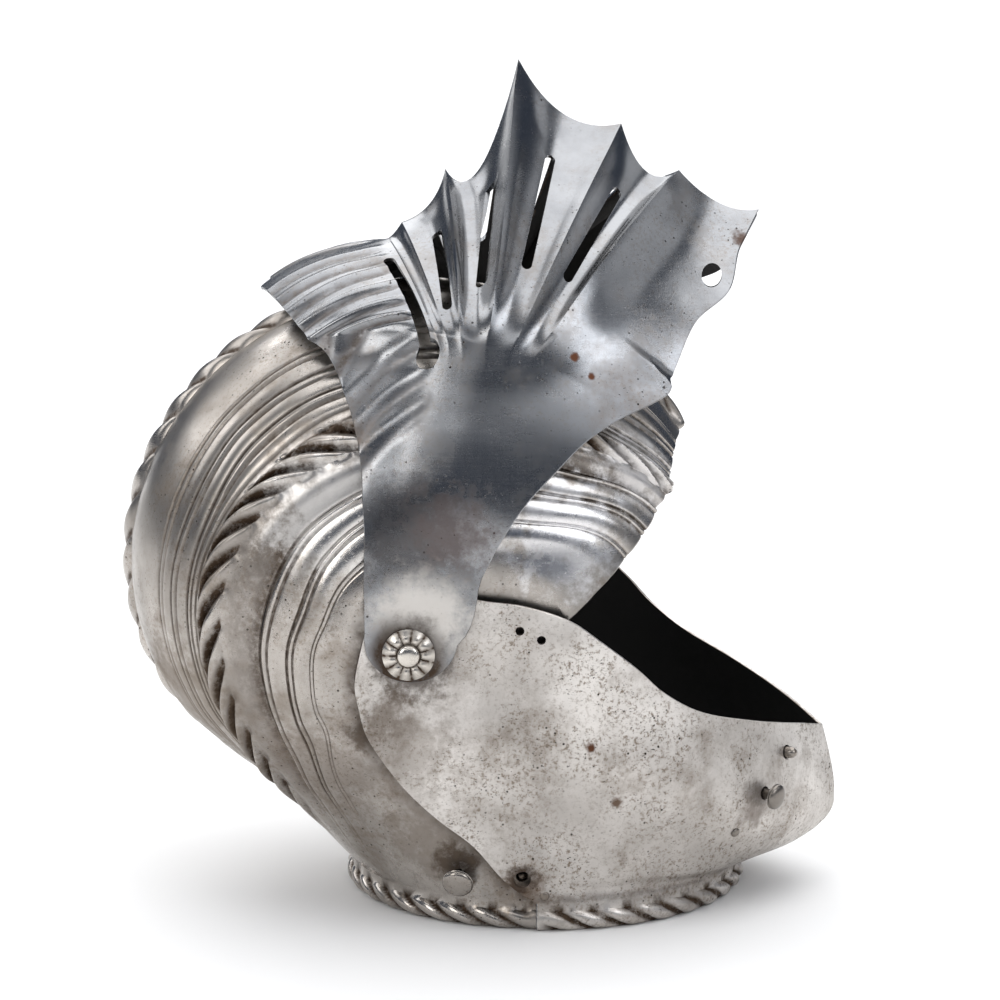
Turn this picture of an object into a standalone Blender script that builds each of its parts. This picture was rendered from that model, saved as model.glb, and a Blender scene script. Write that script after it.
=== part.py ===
"""Fluted close helmet with its bellows visor raised.

Metres. +X is the front of the helmet, +Z is up, and the wearer's right side is at -Y.
Every plate is worked out in side view, round the pivots that carry bevor and visor, as a grid of
points on its outer face. Its inner face lies one plate thickness behind.
"""
import math

import bmesh
import bpy
from mathutils import Matrix, Vector
from mathutils.bvhtree import BVHTree

# Where the pivots stand over the floor, and ahead of the middle of the helmet
PIVOT_HEIGHT = 0.1332
PIVOT_X = -0.0301

# Plates
PLATE = 0.0018
GAP = 0.0003

# Skull
SKULL_RADIUS = 0.150
SKULL_HALF_WIDTH = 0.100
ROPE_HEIGHT = 0.0045
ROPE_LUMPS = 15
ROPE_HOLLOW = 0.62
FLUTE_DEPTH = 0.0014
SKULL_BULGE = 2.4
SKULL_CROWN = 2.1

# Neck rim
NECK_CENTRE_X = 0.0604
NECK_HALF_LENGTH = 0.0895
NECK_HALF_WIDTH = 0.0859
NECK_WAIST_DROP = 0.1200
RIM_RADIUS = 0.0055
RIM_INSET = 0.0033
RIM_SINK = 1.4
RIM_FLAT = 0.3
RIM_LUMP = 0.0011
RIM_LUMPS = 16
SEAM_X = 0.0565
SEAM_GAP = 0.0006

# Bevor
BEVOR_REACH = 0.196
BEVOR_PROW = 3.8
BEVOR_RING_FROM = 0.35
BEVOR_RING_FULL = 0.9

# Visor
VISOR_REACH = 0.2548
VISOR_CHEEK_RADIUS = 0.140
VISOR_CHEEK_HALF_WIDTH = 0.088
LUG_RADIUS = 0.0205
LUG_NECK = 1.07
LUG_FLAT = 2.2
LUG_DROP = 0.32
LUG_ROUND = 0.93
LUG_LEAN = 0.05
LUG_ARC = (-12, -168)
FOLD_BEND = 1.35
FOREHEAD_FLUTE = 0.0008
SLOT_DEPTH = 0.009

# Pivot bolts
BOLT_RADIUS = 0.0036
BOLT_CLEARANCE = 0.0005
BURR_RADIUS = 0.0070
BURR_HEIGHT = 0.0015
BURR_ROOM = 0.0014
ROSETTE_RADIUS = 0.0118
ROSETTE_HEIGHT = 0.0052
ROSETTE_PETALS = 11

# Spring catches and rivets
STUD_RADIUS = 0.0017
STUD_HEIGHT = 0.0040
STUD_TUCK = 0.2
BUTTON_NECK_RADIUS = 0.0022
BUTTON_NECK_HEIGHT = 0.0045
VISOR_BUTTON_RADIUS = 0.0050
NECK_BUTTON_RADIUS = 0.0066
BUTTON_HEIGHT = 0.0038
LEAF_DROP = 1.9
LEAF_THICKNESS = 0.0010
LEAF_SIDE = 0.0045
CATCH_CLEARANCE = 0.0007
RIVET_RADIUS = 0.0012
RIVET_HEAD = 0.0022
RIVET_RISE = 0.0010
RIVET_ROOM = 0.0006
PEG_HOLE_RADIUS = 0.0042
LACE_HOLE_RADIUS = 0.0020

# How far bevor and visor turn, for the room that they need over what they pass
BEVOR_LIFT = math.radians(60)
VISOR_DROP = math.radians(68)
SWEEP_STEP = math.radians(3)
LUG_ROOM = 0.0005
BEVOR_ROOM = 0.0010
VISOR_ROOM = 0.0027


def table(header, *rows):
    """Columns of a table by name."""
    return {name: [row[i] for row in rows] for i, name in enumerate(header)}


# Sections of the skull at angles round the pivot: radius of the crest over skull radius, and the lie
# across the skull, in degrees from the crest, of the side rope, the last flute and the ear line.
SKULL_SECTIONS = table(
    ("angle", "crest", "rope", "flute", "ear"),
    (9, 1.005, 25, 42, 61),
    (28, 1.007, 28, 45, 64),
    (47, 1.013, 37, 56, 71),
    (75, 1.010, 46, 67, 77),
    (105, 0.993, 51, 73, 80),
    (135, 0.963, 50.5, 73.5, 81),
    (160, 0.926, 48.5, 73, 81),
    (180, 0.880, 46, 70, 79),
    (200, 0.817, 42, 66.5, 77),
    (215, 0.755, 36, 62, 75),
    (230, 0.722, 27, 57.5, 73),
    (250, 0.745, 16, 43, 70),
    (270, 0.800, 12, 34, 66),
)
# Lines over the skull, from the crest (0) to its front edge under the bevor (4): where each starts at
# the face edge and leaves the bowl (degrees round the pivot), and its place on the neck rim.
SKULL_LINES = table(
    ("line", "start", "leave", "rim"),
    (0.0, 33.8, 227, 0),
    (0.5, 33.0, 229, 8),
    (1.0, 28.3, 232, 17),
    (1.5, 25.4, 241, 31),
    (2.0, 22.3, 250, 45),
    (2.5, 17.0, 256, 58),
    (3.0, 9.4, 262, 70),
)
BOWL_SHARE = 0.88
RELIEF_FADE = (0.84, 0.97)
FLUTE_FADE = (0.55, 0.8, 0.6)
# Relief across the skull, over the depth of a flute: 1 on its ridge and below 0 in its valley, by line.
SKULL_FLUTES = table(
    ("line", "rise"),
    (0.30, 0.3), (0.585, -0.5), (0.64, 1), (0.70, -0.5), (0.765, 1), (0.83, -0.5), (0.885, 0.8), (0.94, -0.3),
    (1.15, -0.3), (1.30, 0.4), (1.49, -0.5), (1.61, 1), (1.74, -0.5), (1.87, 1), (2.00, -0.5), (2.20, 0.2),
)
ROPE_LINES = table(("line", "inner", "outer"), (0.0, 0.06, 0.06), (1.0, 0.06, 0.15))
PLAIN_LINES = (2.6, 3.0, 3.5, 4.0)
SKULL_INNER_LINES = (0.0, 0.25, 0.5, 0.75, 0.94, 1.15, 1.4, 1.7, 2.0, 2.6, 3.0, 3.5, 4.0)

# Side view of the bevor, from the pivot, over the bevor's reach.
BEVOR_RIM = table(
    ("x", "z"),
    (0.971, -0.307), (0.903, -0.272), (0.787, -0.224), (0.663, -0.173), (0.577, -0.114), (0.520, -0.056),
    (0.431, 0.019), (0.365, 0.067), (0.260, 0.104), (0.172, 0.117), (0.077, 0.135), (-0.020, 0.122),
    (-0.100, 0.041),
)
BEVOR_KEEL = table(
    ("x", "z"),
    (0.971, -0.307), (0.989, -0.381), (1.000, -0.450), (1.000, -0.500), (0.980, -0.539), (0.942, -0.568),
    (0.888, -0.592), (0.828, -0.602), (0.7755, -0.612),
)
BEVOR_REAR = table(
    ("x", "z"),
    (-0.100, 0.041), (-0.123, -0.072), (-0.115, -0.131), (-0.099, -0.193), (-0.064, -0.253),
    (-0.008, -0.329), (0.062, -0.399), (0.142, -0.465), (0.210, -0.547), (0.288, -0.612),
)

BEVOR_COLUMNS = (0, 0.05, 0.11, 0.18, 0.26, 0.35, 0.45, 0.55, 0.65, 0.74, 0.82, 0.90, 0.95, 1.0)
BEVOR_ROWS = 9

# Ridges of the visor, from the chin end to the back of the forehead: its share of the way across the
# cheek, the angle and radius of its tip in side view, and of the hollow before the next one.
VISOR_FOLDS = table(
    ("share", "angle", "radius", "hollow_angle", "hollow_radius"),
    (0.000, 49.1, 0.944, 52.2, 0.889),
    (0.317, 58.7, 0.917, 60.8, 0.845),
    (0.387, 66.7, 0.944, 72.4, 0.881),
    (0.463, 79.0, 1.000, 80.3, 0.700),
    (0.544, 85.6, 0.789, 86.4, 0.711),
    (0.587, 91.4, 0.690, 92.6, 0.668),
    (0.620, 93.6, 0.662, 97.5, 0.652),
    (0.760, 101.5, 0.6515, 109.0, 0.655),
    (1.000, 115.1, 0.634, 115.1, 0.634),
)
# Front and rear edges of the visor's side, by radius over the cheek radius, in degrees.
VISOR_FRONT = table(
    ("radius", "angle"),
    (0.157, 12), (0.300, 43.5), (0.400, 50.0), (0.500, 52.2), (0.614, 52.6), (0.736, 51.5), (0.853, 50.5),
    (0.950, 48.7), (1.143, 44.4), (1.211, 45.7), (1.357, 47.6), (1.493, 46.6), (1.597, 48.6), (1.720, 49.1),
)
VISOR_REAR = table(
    ("radius", "angle"),
    (0.157, 151), (0.208, 131), (0.349, 113), (0.537, 105.4), (0.690, 103.3), (0.836, 104.1), (0.959, 106.2),
    (1.057, 111.7), (1.154, 115.1),
)
# How the visor's side swells, by share: half width at the cheek radius over the cheek's half width,
# roundness of the fold towards the middle, and of the side towards the lug.
VISOR_SWELL = table(
    ("share", "width", "round", "side"),
    (0.00, 0.91, 1.0, 1.6), (0.30, 0.98, 1.0, 1.5), (0.45, 1.00, 1.0, 1.5), (0.56, 0.97, 1.1, 1.5),
    (0.64, 0.86, 1.5, 1.35), (0.76, 0.76, 1.9, 1.25), (1.00, 0.70, 2.0, 1.2),
)
VISOR_COLUMNS = (0.0, 0.06, 0.20, 0.40, 0.62, 0.84, 1.0, 1.3, 1.65, 2.0, 3.0)
FRONT_EDGE_SHARE = 0.3
FOREHEAD_ROWS = 3
FOREHEAD_FROM = 0.64
FOREHEAD_FULL = 0.76
FOLD_DEPTH = 1.6
FOLD_ROWS = 4
# Slots, from the forehead down: share and column of both ends, width over the cheek radius, and how
# many times wider the round end is.
VISOR_SLOTS = table(
    ("share_out", "column_out", "share_in", "column_in", "width", "keyhole"),
    (0.654, 0.26, 0.659, 1.08, 0.036, 2.1),
    (0.565, 0.23, 0.569, 0.75, 0.030, 1.0),
    (0.488, 0.20, 0.496, 0.65, 0.029, 1.0),
    (0.427, 0.18, 0.421, 0.61, 0.034, 1.0),
    (0.363, 0.15, 0.358, 0.57, 0.034, 1.0),
)
SLOT_END_SIDES = 4

# Small pieces, in side view from the pivot: near the neck over the waist's drop, the rest over the
# bevor's reach, and the peg hole by the visor's share and column.
NECK_STUD = (0.4183, -0.8958)
NECK_BUTTON = (0.1875, -0.9000)
NECK_RIVET = (0.5025, -0.9667)
VISOR_STUD = (0.8755, -0.3245)
VISOR_BUTTON = (0.8204, -0.3995)
FRONT_RIVET = (0.7500, -0.4796)
LACE_HOLES = ((0.2505, 0.0495), (0.2990, 0.0276))
PEG_HOLE = (0.064, 0.30)


def smooth(rows, key, column, at):
    """Value of a column at a place between the rows, on a smooth curve through them."""
    xs, ys = rows[key], rows[column]
    last = len(xs) - 1
    at = min(max(at, xs[0]), xs[-1])
    i = max(k for k in range(last) if xs[k] <= at)

    def slope(k):
        a, b = max(k - 1, 0), min(k + 1, last)
        return (ys[b] - ys[a]) / (xs[b] - xs[a])

    span = xs[i + 1] - xs[i]
    t = (at - xs[i]) / span
    return ((1 + 2 * t) * (1 - t) ** 2 * ys[i] + t * (1 - t) ** 2 * span * slope(i)
            + t * t * (3 - 2 * t) * ys[i + 1] + t * t * (t - 1) * span * slope(i + 1))


def along(outline, share, size):
    """Point at a share of an outline's length, smooth through its rows, as x and z."""
    steps = [0.0]
    for i in range(1, len(outline["x"])):
        steps.append(steps[-1] + math.hypot(outline["x"][i] - outline["x"][i - 1],
                                            outline["z"][i] - outline["z"][i - 1]))
    rows = {"at": [s / steps[-1] for s in steps], **outline}
    return size * smooth(rows, "at", "x", share), size * smooth(rows, "at", "z", share)


def mix(a, b, share):
    return a + (b - a) * share


def ease(low, high, at):
    t = min(max((at - low) / (high - low), 0.0), 1.0)
    return t * t * (3 - 2 * t)


def side_point(radius, angle, y):
    """Point of the side view, at a radius and an angle in degrees round the pivot."""
    return Vector((radius * math.cos(math.radians(angle)), y, radius * math.sin(math.radians(angle))))


# Meshes

class Skin:
    """Vertices and faces of one closed body, with equal points kept once."""

    def __init__(self):
        self.points, self.faces, self.known = [], [], {}

    def chain(self, points):
        found = []
        for point in points:
            key = tuple(round(c, 7) for c in point)
            if key not in self.known:
                self.known[key] = len(self.points)
                self.points.append(Vector(point))
            found.append(self.known[key])
        return found

    def face(self, *corners):
        ring = [c for i, c in enumerate(corners) if c != corners[i - 1]]
        if len(set(ring)) == len(ring) > 2:
            self.faces.append(ring)

    def join(self, first, second):
        """Faces between two chains, as a zip where their counts differ."""
        if len(first) == len(second):
            for i in range(len(first) - 1):
                self.face(first[i], first[i + 1], second[i + 1], second[i])
            return
        a, b = self.shares(first), self.shares(second)
        i = j = 0
        while i < len(first) - 1 or j < len(second) - 1:
            if j == len(second) - 1 or (i < len(first) - 1 and a[i + 1] <= b[j + 1]):
                self.face(first[i], first[i + 1], second[j])
                i += 1
            else:
                self.face(first[i], second[j + 1], second[j])
                j += 1

    def shares(self, chain):
        run = [0.0]
        for a, b in zip(chain, chain[1:]):
            run.append(run[-1] + (self.points[a] - self.points[b]).length)
        return [r / max(run[-1], 1e-9) for r in run]

    def build(self, name, material, place):
        mesh = bpy.data.meshes.new(name)
        bm = bmesh.new()
        verts = [bm.verts.new(p) for p in self.points]
        for ring in self.faces:
            if bm.faces.get([verts[i] for i in ring]) is None:
                bm.faces.new([verts[i] for i in ring])
        bmesh.ops.recalc_face_normals(bm, faces=bm.faces)
        if bm.calc_volume(signed=True) < 0:
            bmesh.ops.reverse_faces(bm, faces=bm.faces)
        bm.to_mesh(mesh)
        bm.free()
        mesh.shade_smooth()
        mesh.set_sharp_from_angle(angle=math.radians(42))
        mesh.materials.append(material)
        obj = bpy.data.objects.new(name, mesh)
        obj.location = place
        bpy.context.scene.collection.objects.link(obj)
        return obj


def normals(grid, outward):
    """Unit normals of a grid of points, the middle one pointing along outward."""
    rows, columns = len(grid), len(grid[0])
    found = [[None] * columns for _ in range(rows)]
    for i in range(rows):
        for j in range(columns):
            down = grid[min(i + 1, rows - 1)][j] - grid[max(i - 1, 0)][j]
            across = grid[i][min(j + 1, columns - 1)] - grid[i][max(j - 1, 0)]
            if across.length < 1e-6:
                across = grid[min(i + 1, rows - 1)][min(j + 1, columns - 1)] \
                    - grid[min(i + 1, rows - 1)][max(j - 1, 0)]
            found[i][j] = down.cross(across).normalized()
        for j in [*range(columns // 2, columns), *range(columns // 2, -1, -1)]:
            inward = j - 1 if j > columns // 2 else j + 1
            if j != columns // 2 and (grid[i][j] - grid[i][inward]).length < 1e-6:
                found[i][j] = found[i][inward]
    if found[rows // 2][columns // 2].dot(outward) < 0:
        found = [[-n for n in row] for row in found]
    return found


def mirrored(half):
    """Whole row from its near half, which runs from the middle to the near edge."""
    far = [Vector((p.x, -p.y, p.z)) for p in half]
    return list(reversed(half)) + far[1:]


def plate(outer, inner, beads=()):
    """Closed plate from grids of its outer and inner faces, with a rolled rim on its last row."""
    skin = Skin()
    out_rows = [skin.chain(row) for row in outer]
    in_rows = [skin.chain(row) for row in inner]
    for rows in (out_rows, in_rows):
        for a, b in zip(rows, rows[1:]):
            skin.join(a, b)
    skin.join(out_rows[0], in_rows[0])
    for side in (0, -1):
        skin.join([row[side] for row in out_rows], [row[side] for row in in_rows])
    chains = [out_rows[-1]] + [skin.chain(bead) for bead in beads] + [in_rows[-1]]
    for a, b in zip(chains, chains[1:]):
        skin.join(a, b)
    if beads:
        for side in (0, -1):
            skin.face(*[chain[side] for chain in chains])
    return skin


# The neck rim

def rim_point(angle, grow, drop):
    """Point of the neck ring at an angle from its rear, outside the skull's ring by grow."""
    return Vector((NECK_CENTRE_X - (NECK_HALF_LENGTH + grow) * math.cos(angle),
                   -(NECK_HALF_WIDTH + grow) * math.sin(angle), -drop))


def seam_angle(grow, slack):
    return math.acos((NECK_CENTRE_X - SEAM_X - slack) / (NECK_HALF_LENGTH + grow))


def rim_beads(first, last, grow, turn):
    """Chains round the rolled and roped rim, from its outer top to its inner top."""
    centre = NECK_WAIST_DROP + RIM_RADIUS * RIM_SINK
    flat = RIM_RADIUS * RIM_FLAT
    ways = ((0.75, 0.66), (1.0, 0.0), (0.72, -0.70), (None, flat), (None, -flat), (-0.72, -0.70),
            (-1.0, 0.0), (-0.75, 0.66))
    count = 2 * RIM_LUMPS
    beads = []
    for k, (out, up) in enumerate(ways):
        bead = []
        for i in range(count + 1):
            angle = mix(first, last, i / count)
            if out is None:
                bead.append(rim_point(angle, grow - RIM_INSET + up, centre + RIM_RADIUS))
                continue
            lump = RIM_LUMP * ((i + (k + turn) // 2) % 2)
            reach = RIM_RADIUS - (lump if 0 < i < count else 0)
            bead.append(rim_point(angle, grow - RIM_INSET + reach * out, centre - reach * up))
        beads.append(bead)
    return beads


# The skull

def skull_bowl(line, angle):
    """Point of the bowl on a line from crest (0) to ear (3), at an angle round the pivot."""
    sides = [smooth(SKULL_SECTIONS, "angle", name, angle) for name in ("rope", "flute", "ear")]
    lies = {"line": [0, 1, 2, 3], "lie": [0.0] + sides}
    lie = math.radians(smooth(lies, "line", "lie", line))
    share = math.cos(lie)
    radius = smooth(SKULL_SECTIONS, "angle", "crest", angle) * SKULL_RADIUS - ROPE_HEIGHT
    width = SKULL_HALF_WIDTH * (1 - share ** SKULL_BULGE) ** (1 / SKULL_CROWN)
    return side_point(radius * share, angle, -width)


def skull_point(line, share):
    """Point of the skull's smooth face, share 0 at the face edge and 1 at the neck rim."""
    if line > 3:
        start = skull_point(3, 0)
        end = rim_point(seam_angle(0, 0), 0, NECK_WAIST_DROP)
        return skull_point(3, share).lerp(start.lerp(end, share), line - 3)
    start, leave, rim = (smooth(SKULL_LINES, "line", name, line) for name in ("start", "leave", "rim"))
    if share <= BOWL_SHARE:
        return skull_bowl(line, mix(start, leave, share / BOWL_SHARE))
    left = (share - BOWL_SHARE) / (1 - BOWL_SHARE)
    return skull_bowl(line, leave).lerp(rim_point(math.radians(rim), 0, NECK_WAIST_DROP), left)


def skull_relief(line, row, share):
    """Height of ropes and flutes over the smooth face."""
    fade = 1 - ease(*RELIEF_FADE, share)
    for middle, inner, outer in zip(*ROPE_LINES.values()):
        off = (line - middle) / (outer if line > middle else inner)
        if abs(off) < 0.99:
            return ROPE_HEIGHT * fade * (1 - off * off) * (1.0 if row % 2 else ROPE_HOLLOW)
    if line < SKULL_FLUTES["line"][0] or line > SKULL_FLUTES["line"][-1]:
        return 0.0
    near = [r for at, r in zip(*SKULL_FLUTES.values()) if abs(at - line) < 1e-6]
    low, full, loss = FLUTE_FADE
    return FLUTE_DEPTH * fade * (1 - loss * ease(low, full, share)) * (near[0] if near else 0.0)


def make_skull(material, place):
    lines = sorted({0.0, 0.06, 1.0} | set(SKULL_FLUTES["line"]) | set(PLAIN_LINES))
    bowl_rows, low_rows = 2 * ROPE_LUMPS, 4
    shares = [BOWL_SHARE * i / bowl_rows for i in range(bowl_rows)]
    shares += [mix(BOWL_SHARE, 1, i / low_rows) for i in range(low_rows + 1)]
    base = [mirrored([skull_point(line, share) for line in lines]) for share in shares]
    out = normals(base, Vector((0, 0, 1)))
    signed = [-line for line in reversed(lines)] + lines[1:]
    outer = [[p + n * skull_relief(abs(line), i, shares[i]) for p, n, line in zip(row, ns, signed)]
             for i, (row, ns) in enumerate(zip(base, out))]
    thin = shares[::2] if len(shares) % 2 else shares[::2] + [1.0]
    back = [mirrored([skull_point(line, share) for line in SKULL_INNER_LINES]) for share in thin]
    inner = [[p - n * PLATE for p, n in zip(row, ns)]
             for row, ns in zip(back, normals(back, Vector((0, 0, 1))))]
    inner[0] = [p - n * PLATE for p, n in zip(base[0], out[0])]
    seam = seam_angle(0, 0)
    return plate(outer, inner, rim_beads(seam, -seam, 0, 0)).build("skull", material, place)


# What turns over the skull keeps clear of it

class Under:
    """The outermost face, on the near side, of pieces that another one passes over."""

    def __init__(self, objects):
        self.trees = []
        for obj in objects:
            points = [v.co for v in obj.data.vertices]
            self.trees.append(BVHTree.FromPolygons(points, [tuple(p.vertices) for p in obj.data.polygons]))

    def side(self, x, z):
        found = 0.0
        for tree in self.trees:
            hit = tree.ray_cast(Vector((x, -1.0, z)), Vector((0, 1, 0)))[0]
            if hit is not None:
                found = min(found, hit.y)
        return found

    def swept(self, x, z, first, last):
        """Outermost face over all the places that a point reaches as it turns round the pivot."""
        count = max(1, math.ceil((last - first) / SWEEP_STEP))
        found = 0.0
        for i in range(count + 1):
            turn = mix(first, last, i / count)
            c, s = math.cos(turn), math.sin(turn)
            found = min(found, self.side(x * c - z * s, x * s + z * c))
        return found


def lifted(point, room, *sweeps):
    """The point, moved out sideways where the plate through it would touch what it passes."""
    y = point.y
    room = LUG_ROOM + room * ease(ROSETTE_RADIUS * 1.05, LUG_RADIUS * 1.3, math.hypot(point.x, point.z))
    for under, first, last in sweeps:
        face = under.swept(point.x, point.z, first, last)
        if face < 0:
            y = min(y, face - GAP - PLATE - room)
    return Vector((point.x, y, point.z))


# The bevor

def bevor_width(x, front, share):
    """Half width at x of the section whose keel is at front, share 0 at the face rim, 1 at the neck."""
    grow = PLATE + GAP
    prow = SKULL_HALF_WIDTH * (1 - max(0.0, x / front) ** BEVOR_PROW)
    half_length = front - NECK_CENTRE_X if x > NECK_CENTRE_X else NECK_HALF_LENGTH + grow
    off = min(1.0, abs(x - NECK_CENTRE_X) / half_length)
    ring = (NECK_HALF_WIDTH + grow) * math.sqrt(1 - off * off)
    return mix(prow, ring, ease(BEVOR_RING_FROM, 1.0, share))


def bevor_point(across, share):
    """Point of the bevor, across 0 at the keel and 1 at its rear edge, share 0 at the face rim."""
    grow = PLATE + GAP
    rim = along(BEVOR_RIM, across, BEVOR_REACH)
    neck = rim_point(math.pi - across * (math.pi - seam_angle(grow, SEAM_GAP)), grow, NECK_WAIST_DROP)
    keel = along(BEVOR_KEEL, share, BEVOR_REACH)
    rear = along(BEVOR_REAR, share, BEVOR_REACH)
    corners = (along(BEVOR_RIM, 0, BEVOR_REACH), along(BEVOR_RIM, 1, BEVOR_REACH),
               along(BEVOR_KEEL, 1, BEVOR_REACH), along(BEVOR_REAR, 1, BEVOR_REACH))
    flat = []
    for k, edge in enumerate((neck.x, neck.z)):
        top_bottom = mix(rim[k], edge, share)
        sides = mix(keel[k], rear[k], across)
        twist = mix(mix(corners[0][k], corners[1][k], across),
                    mix(corners[2][k], corners[3][k], across), share)
        flat.append(top_bottom + sides - twist)
    x, z = flat
    if across == 0:
        return Vector((x, 0, z))
    width = mix(bevor_width(x, keel[0], share), -neck.y, ease(BEVOR_RING_FULL, 1.0, share))
    return Vector((x, -width, z))


def make_bevor(material, place, skull):
    rows = [i / BEVOR_ROWS for i in range(BEVOR_ROWS + 1)]
    under = Under([skull])
    half = [[bevor_point(a, s) for a in BEVOR_COLUMNS] for s in rows]
    for i, row in enumerate(half[:-1]):
        half[i] = row[:1] + [lifted(p, BEVOR_ROOM, (under, 0, BEVOR_LIFT)) for p in row[1:]]
    outer = [mirrored(row) for row in half]
    inner = [[p - n * PLATE for p, n in zip(row, ns)]
             for row, ns in zip(outer, normals(outer, Vector((1, 0, 0))))]
    grow = PLATE + GAP
    seam = seam_angle(grow, SEAM_GAP)
    beads = rim_beads(seam, 2 * math.pi - seam, grow, 1)
    return plate(outer, inner, beads).build("bevor", material, place)


# The visor

def fold_tip(share):
    """Side view of the visor's middle at a share of the way from its chin end to the forehead's back."""
    shares = VISOR_FOLDS["share"]
    k = max(i for i in range(len(shares) - 1) if shares[i] <= share)
    t = (share - shares[k]) / (shares[k + 1] - shares[k])

    def spot(angle, radius):
        return side_point(radius * VISOR_REACH, angle, 0)

    start = spot(VISOR_FOLDS["angle"][k], VISOR_FOLDS["radius"][k])
    hollow = spot(VISOR_FOLDS["hollow_angle"][k], VISOR_FOLDS["hollow_radius"][k])
    end = spot(VISOR_FOLDS["angle"][k + 1], VISOR_FOLDS["radius"][k + 1])
    return start * (1 - t) ** 2 + hollow * 2 * t * (1 - t) + end * t * t


def visor_half_width():
    return SKULL_HALF_WIDTH + 2 * (PLATE + GAP + LUG_ROOM)


def visor_point(share, column):
    """Point of the visor: column 0 at its middle, 1 at the cheek, 2 over the lug, 3 at its lower edge."""
    if column > 2:
        low = math.radians(mix(*LUG_ARC, share))
        edge = Vector((LUG_RADIUS * (LUG_LEAN + math.cos(low)), -visor_half_width(),
                       LUG_RADIUS * (LUG_DROP + LUG_ROUND * math.sin(low))))
        return visor_point(share, 2).lerp(edge, column - 2)
    width = smooth(VISOR_SWELL, "share", "width", share) * VISOR_CHEEK_HALF_WIDTH
    roundness = smooth(VISOR_SWELL, "share", "round", share)
    side = smooth(VISOR_SWELL, "share", "side", share)

    def edge(rows, radius):
        return smooth(rows, "radius", "angle", radius / VISOR_CHEEK_RADIUS)

    if column <= 1:
        tip = fold_tip(share)
        reach, tip_angle = math.hypot(tip.x, tip.z), math.degrees(math.atan2(tip.z, tip.x))
        radius = reach - (reach - VISOR_CHEEK_RADIUS) * column ** roundness
        cheek_front = edge(VISOR_FRONT, VISOR_CHEEK_RADIUS)
        cheek = mix(cheek_front, edge(VISOR_REAR, VISOR_CHEEK_RADIUS), share)
        angle = mix(tip_angle, cheek, column)
        straight = mix(VISOR_FOLDS["angle"][0], cheek_front, column)
        angle += (edge(VISOR_FRONT, radius) - straight) * max(0.0, 1 - share / FRONT_EDGE_SHARE)
        return side_point(radius, angle, -width * math.sin(FOLD_BEND * column) / math.sin(FOLD_BEND))
    radius = mix(VISOR_CHEEK_RADIUS, LUG_RADIUS * LUG_NECK, column - 1)
    flat = LUG_RADIUS * LUG_FLAT
    out = max(0.0, (radius - flat) / (VISOR_CHEEK_RADIUS - flat)) ** side
    y = -mix(visor_half_width(), width, out)
    return side_point(radius, mix(edge(VISOR_FRONT, radius), edge(VISOR_REAR, radius), share), y)


def visor_rows():
    shares, folds = [], VISOR_FOLDS["share"]
    for k in range(len(folds) - 1):
        steps = FOLD_ROWS if k < 5 else FOREHEAD_ROWS if k > 5 else 1
        shares += [mix(folds[k], folds[k + 1], i / steps) for i in range(steps)]
    return shares + [1.0]


def make_visor(material, place, skull, bevor):
    over_skull, over_bevor = Under([skull]), Under([bevor])
    passed = ((over_skull, -VISOR_DROP, BEVOR_LIFT), (over_bevor, -VISOR_DROP, 0))
    half = []
    for share in visor_rows():
        row = [visor_point(share, column) for column in VISOR_COLUMNS]
        half.append(row[:2] + [lifted(p, VISOR_ROOM, *passed) for p in row[2:]])
    base = [mirrored(row) for row in half]
    out = normals(base, Vector((0.3, 0, 1)))
    outer = []
    middle = len(VISOR_COLUMNS) - 1
    for share, row, ns in zip(visor_rows(), base, out):
        fluted = FOREHEAD_FLUTE * ease(FOREHEAD_FROM, FOREHEAD_FULL, share)
        outer.append([p + n * (fluted if abs(j - middle) in (2, 4, 6) else 0)
                      for j, (p, n) in enumerate(zip(row, ns))])
    inner = []
    for share, row, ns in zip(visor_rows(), base, out):
        inner.append([p - n * PLATE for p, n in zip(row, ns)])
        depth = mix(FOLD_DEPTH, 1, ease(FOREHEAD_FROM, FOREHEAD_FULL, share))
        inner[-1][middle] = row[middle] * (1 - PLATE * depth / row[middle].length)
    return plate(outer, inner).build("visor", material, place)


# Holes and slots

def cut(obj, cutter, place):
    cutter.location = place
    cutter.hide_render = True
    cutter.display_type = 'WIRE'
    hole = obj.modifiers.new(cutter.name, 'BOOLEAN')
    hole.operation = 'DIFFERENCE'
    hole.solver = 'EXACT'
    hole.object = cutter


def pin_mesh(name, profile, matrix, sides, material=None):
    """Turned piece: its profile as radius and height, along the matrix's z axis."""
    bm = bmesh.new()
    rings = []
    for radius, height in profile:
        if radius == 0:
            rings.append([bm.verts.new(matrix @ Vector((0, 0, height)))])
            continue
        rings.append([bm.verts.new(matrix @ Vector((radius * math.cos(a), radius * math.sin(a), height)))
                      for a in (math.tau * i / sides for i in range(sides))])
    for low, high in zip(rings, rings[1:]):
        for i in range(sides):
            a, b = low[i % len(low)], low[(i + 1) % len(low)]
            c, d = high[(i + 1) % len(high)], high[i % len(high)]
            corners = [v for k, v in enumerate((a, b, c, d)) if v not in (a, b, c, d)[:k]]
            if len(corners) > 2:
                bm.faces.new(corners)
    for ring in (rings[0], rings[-1]):
        if len(ring) > 1:
            bm.faces.new(ring)
    bmesh.ops.recalc_face_normals(bm, faces=bm.faces)
    mesh = bpy.data.meshes.new(name)
    bm.to_mesh(mesh)
    bm.free()
    mesh.shade_smooth()
    mesh.set_sharp_from_angle(angle=math.radians(40))
    if material:
        mesh.materials.append(material)
    obj = bpy.data.objects.new(name, mesh)
    bpy.context.scene.collection.objects.link(obj)
    return obj


def side_matrix(x, y, z, direction):
    """Frame at a point of the side, its z axis along the outward direction."""
    return Matrix.Translation((x, y, z)) @ direction.to_track_quat('Z', 'X').to_matrix().to_4x4()


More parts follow.
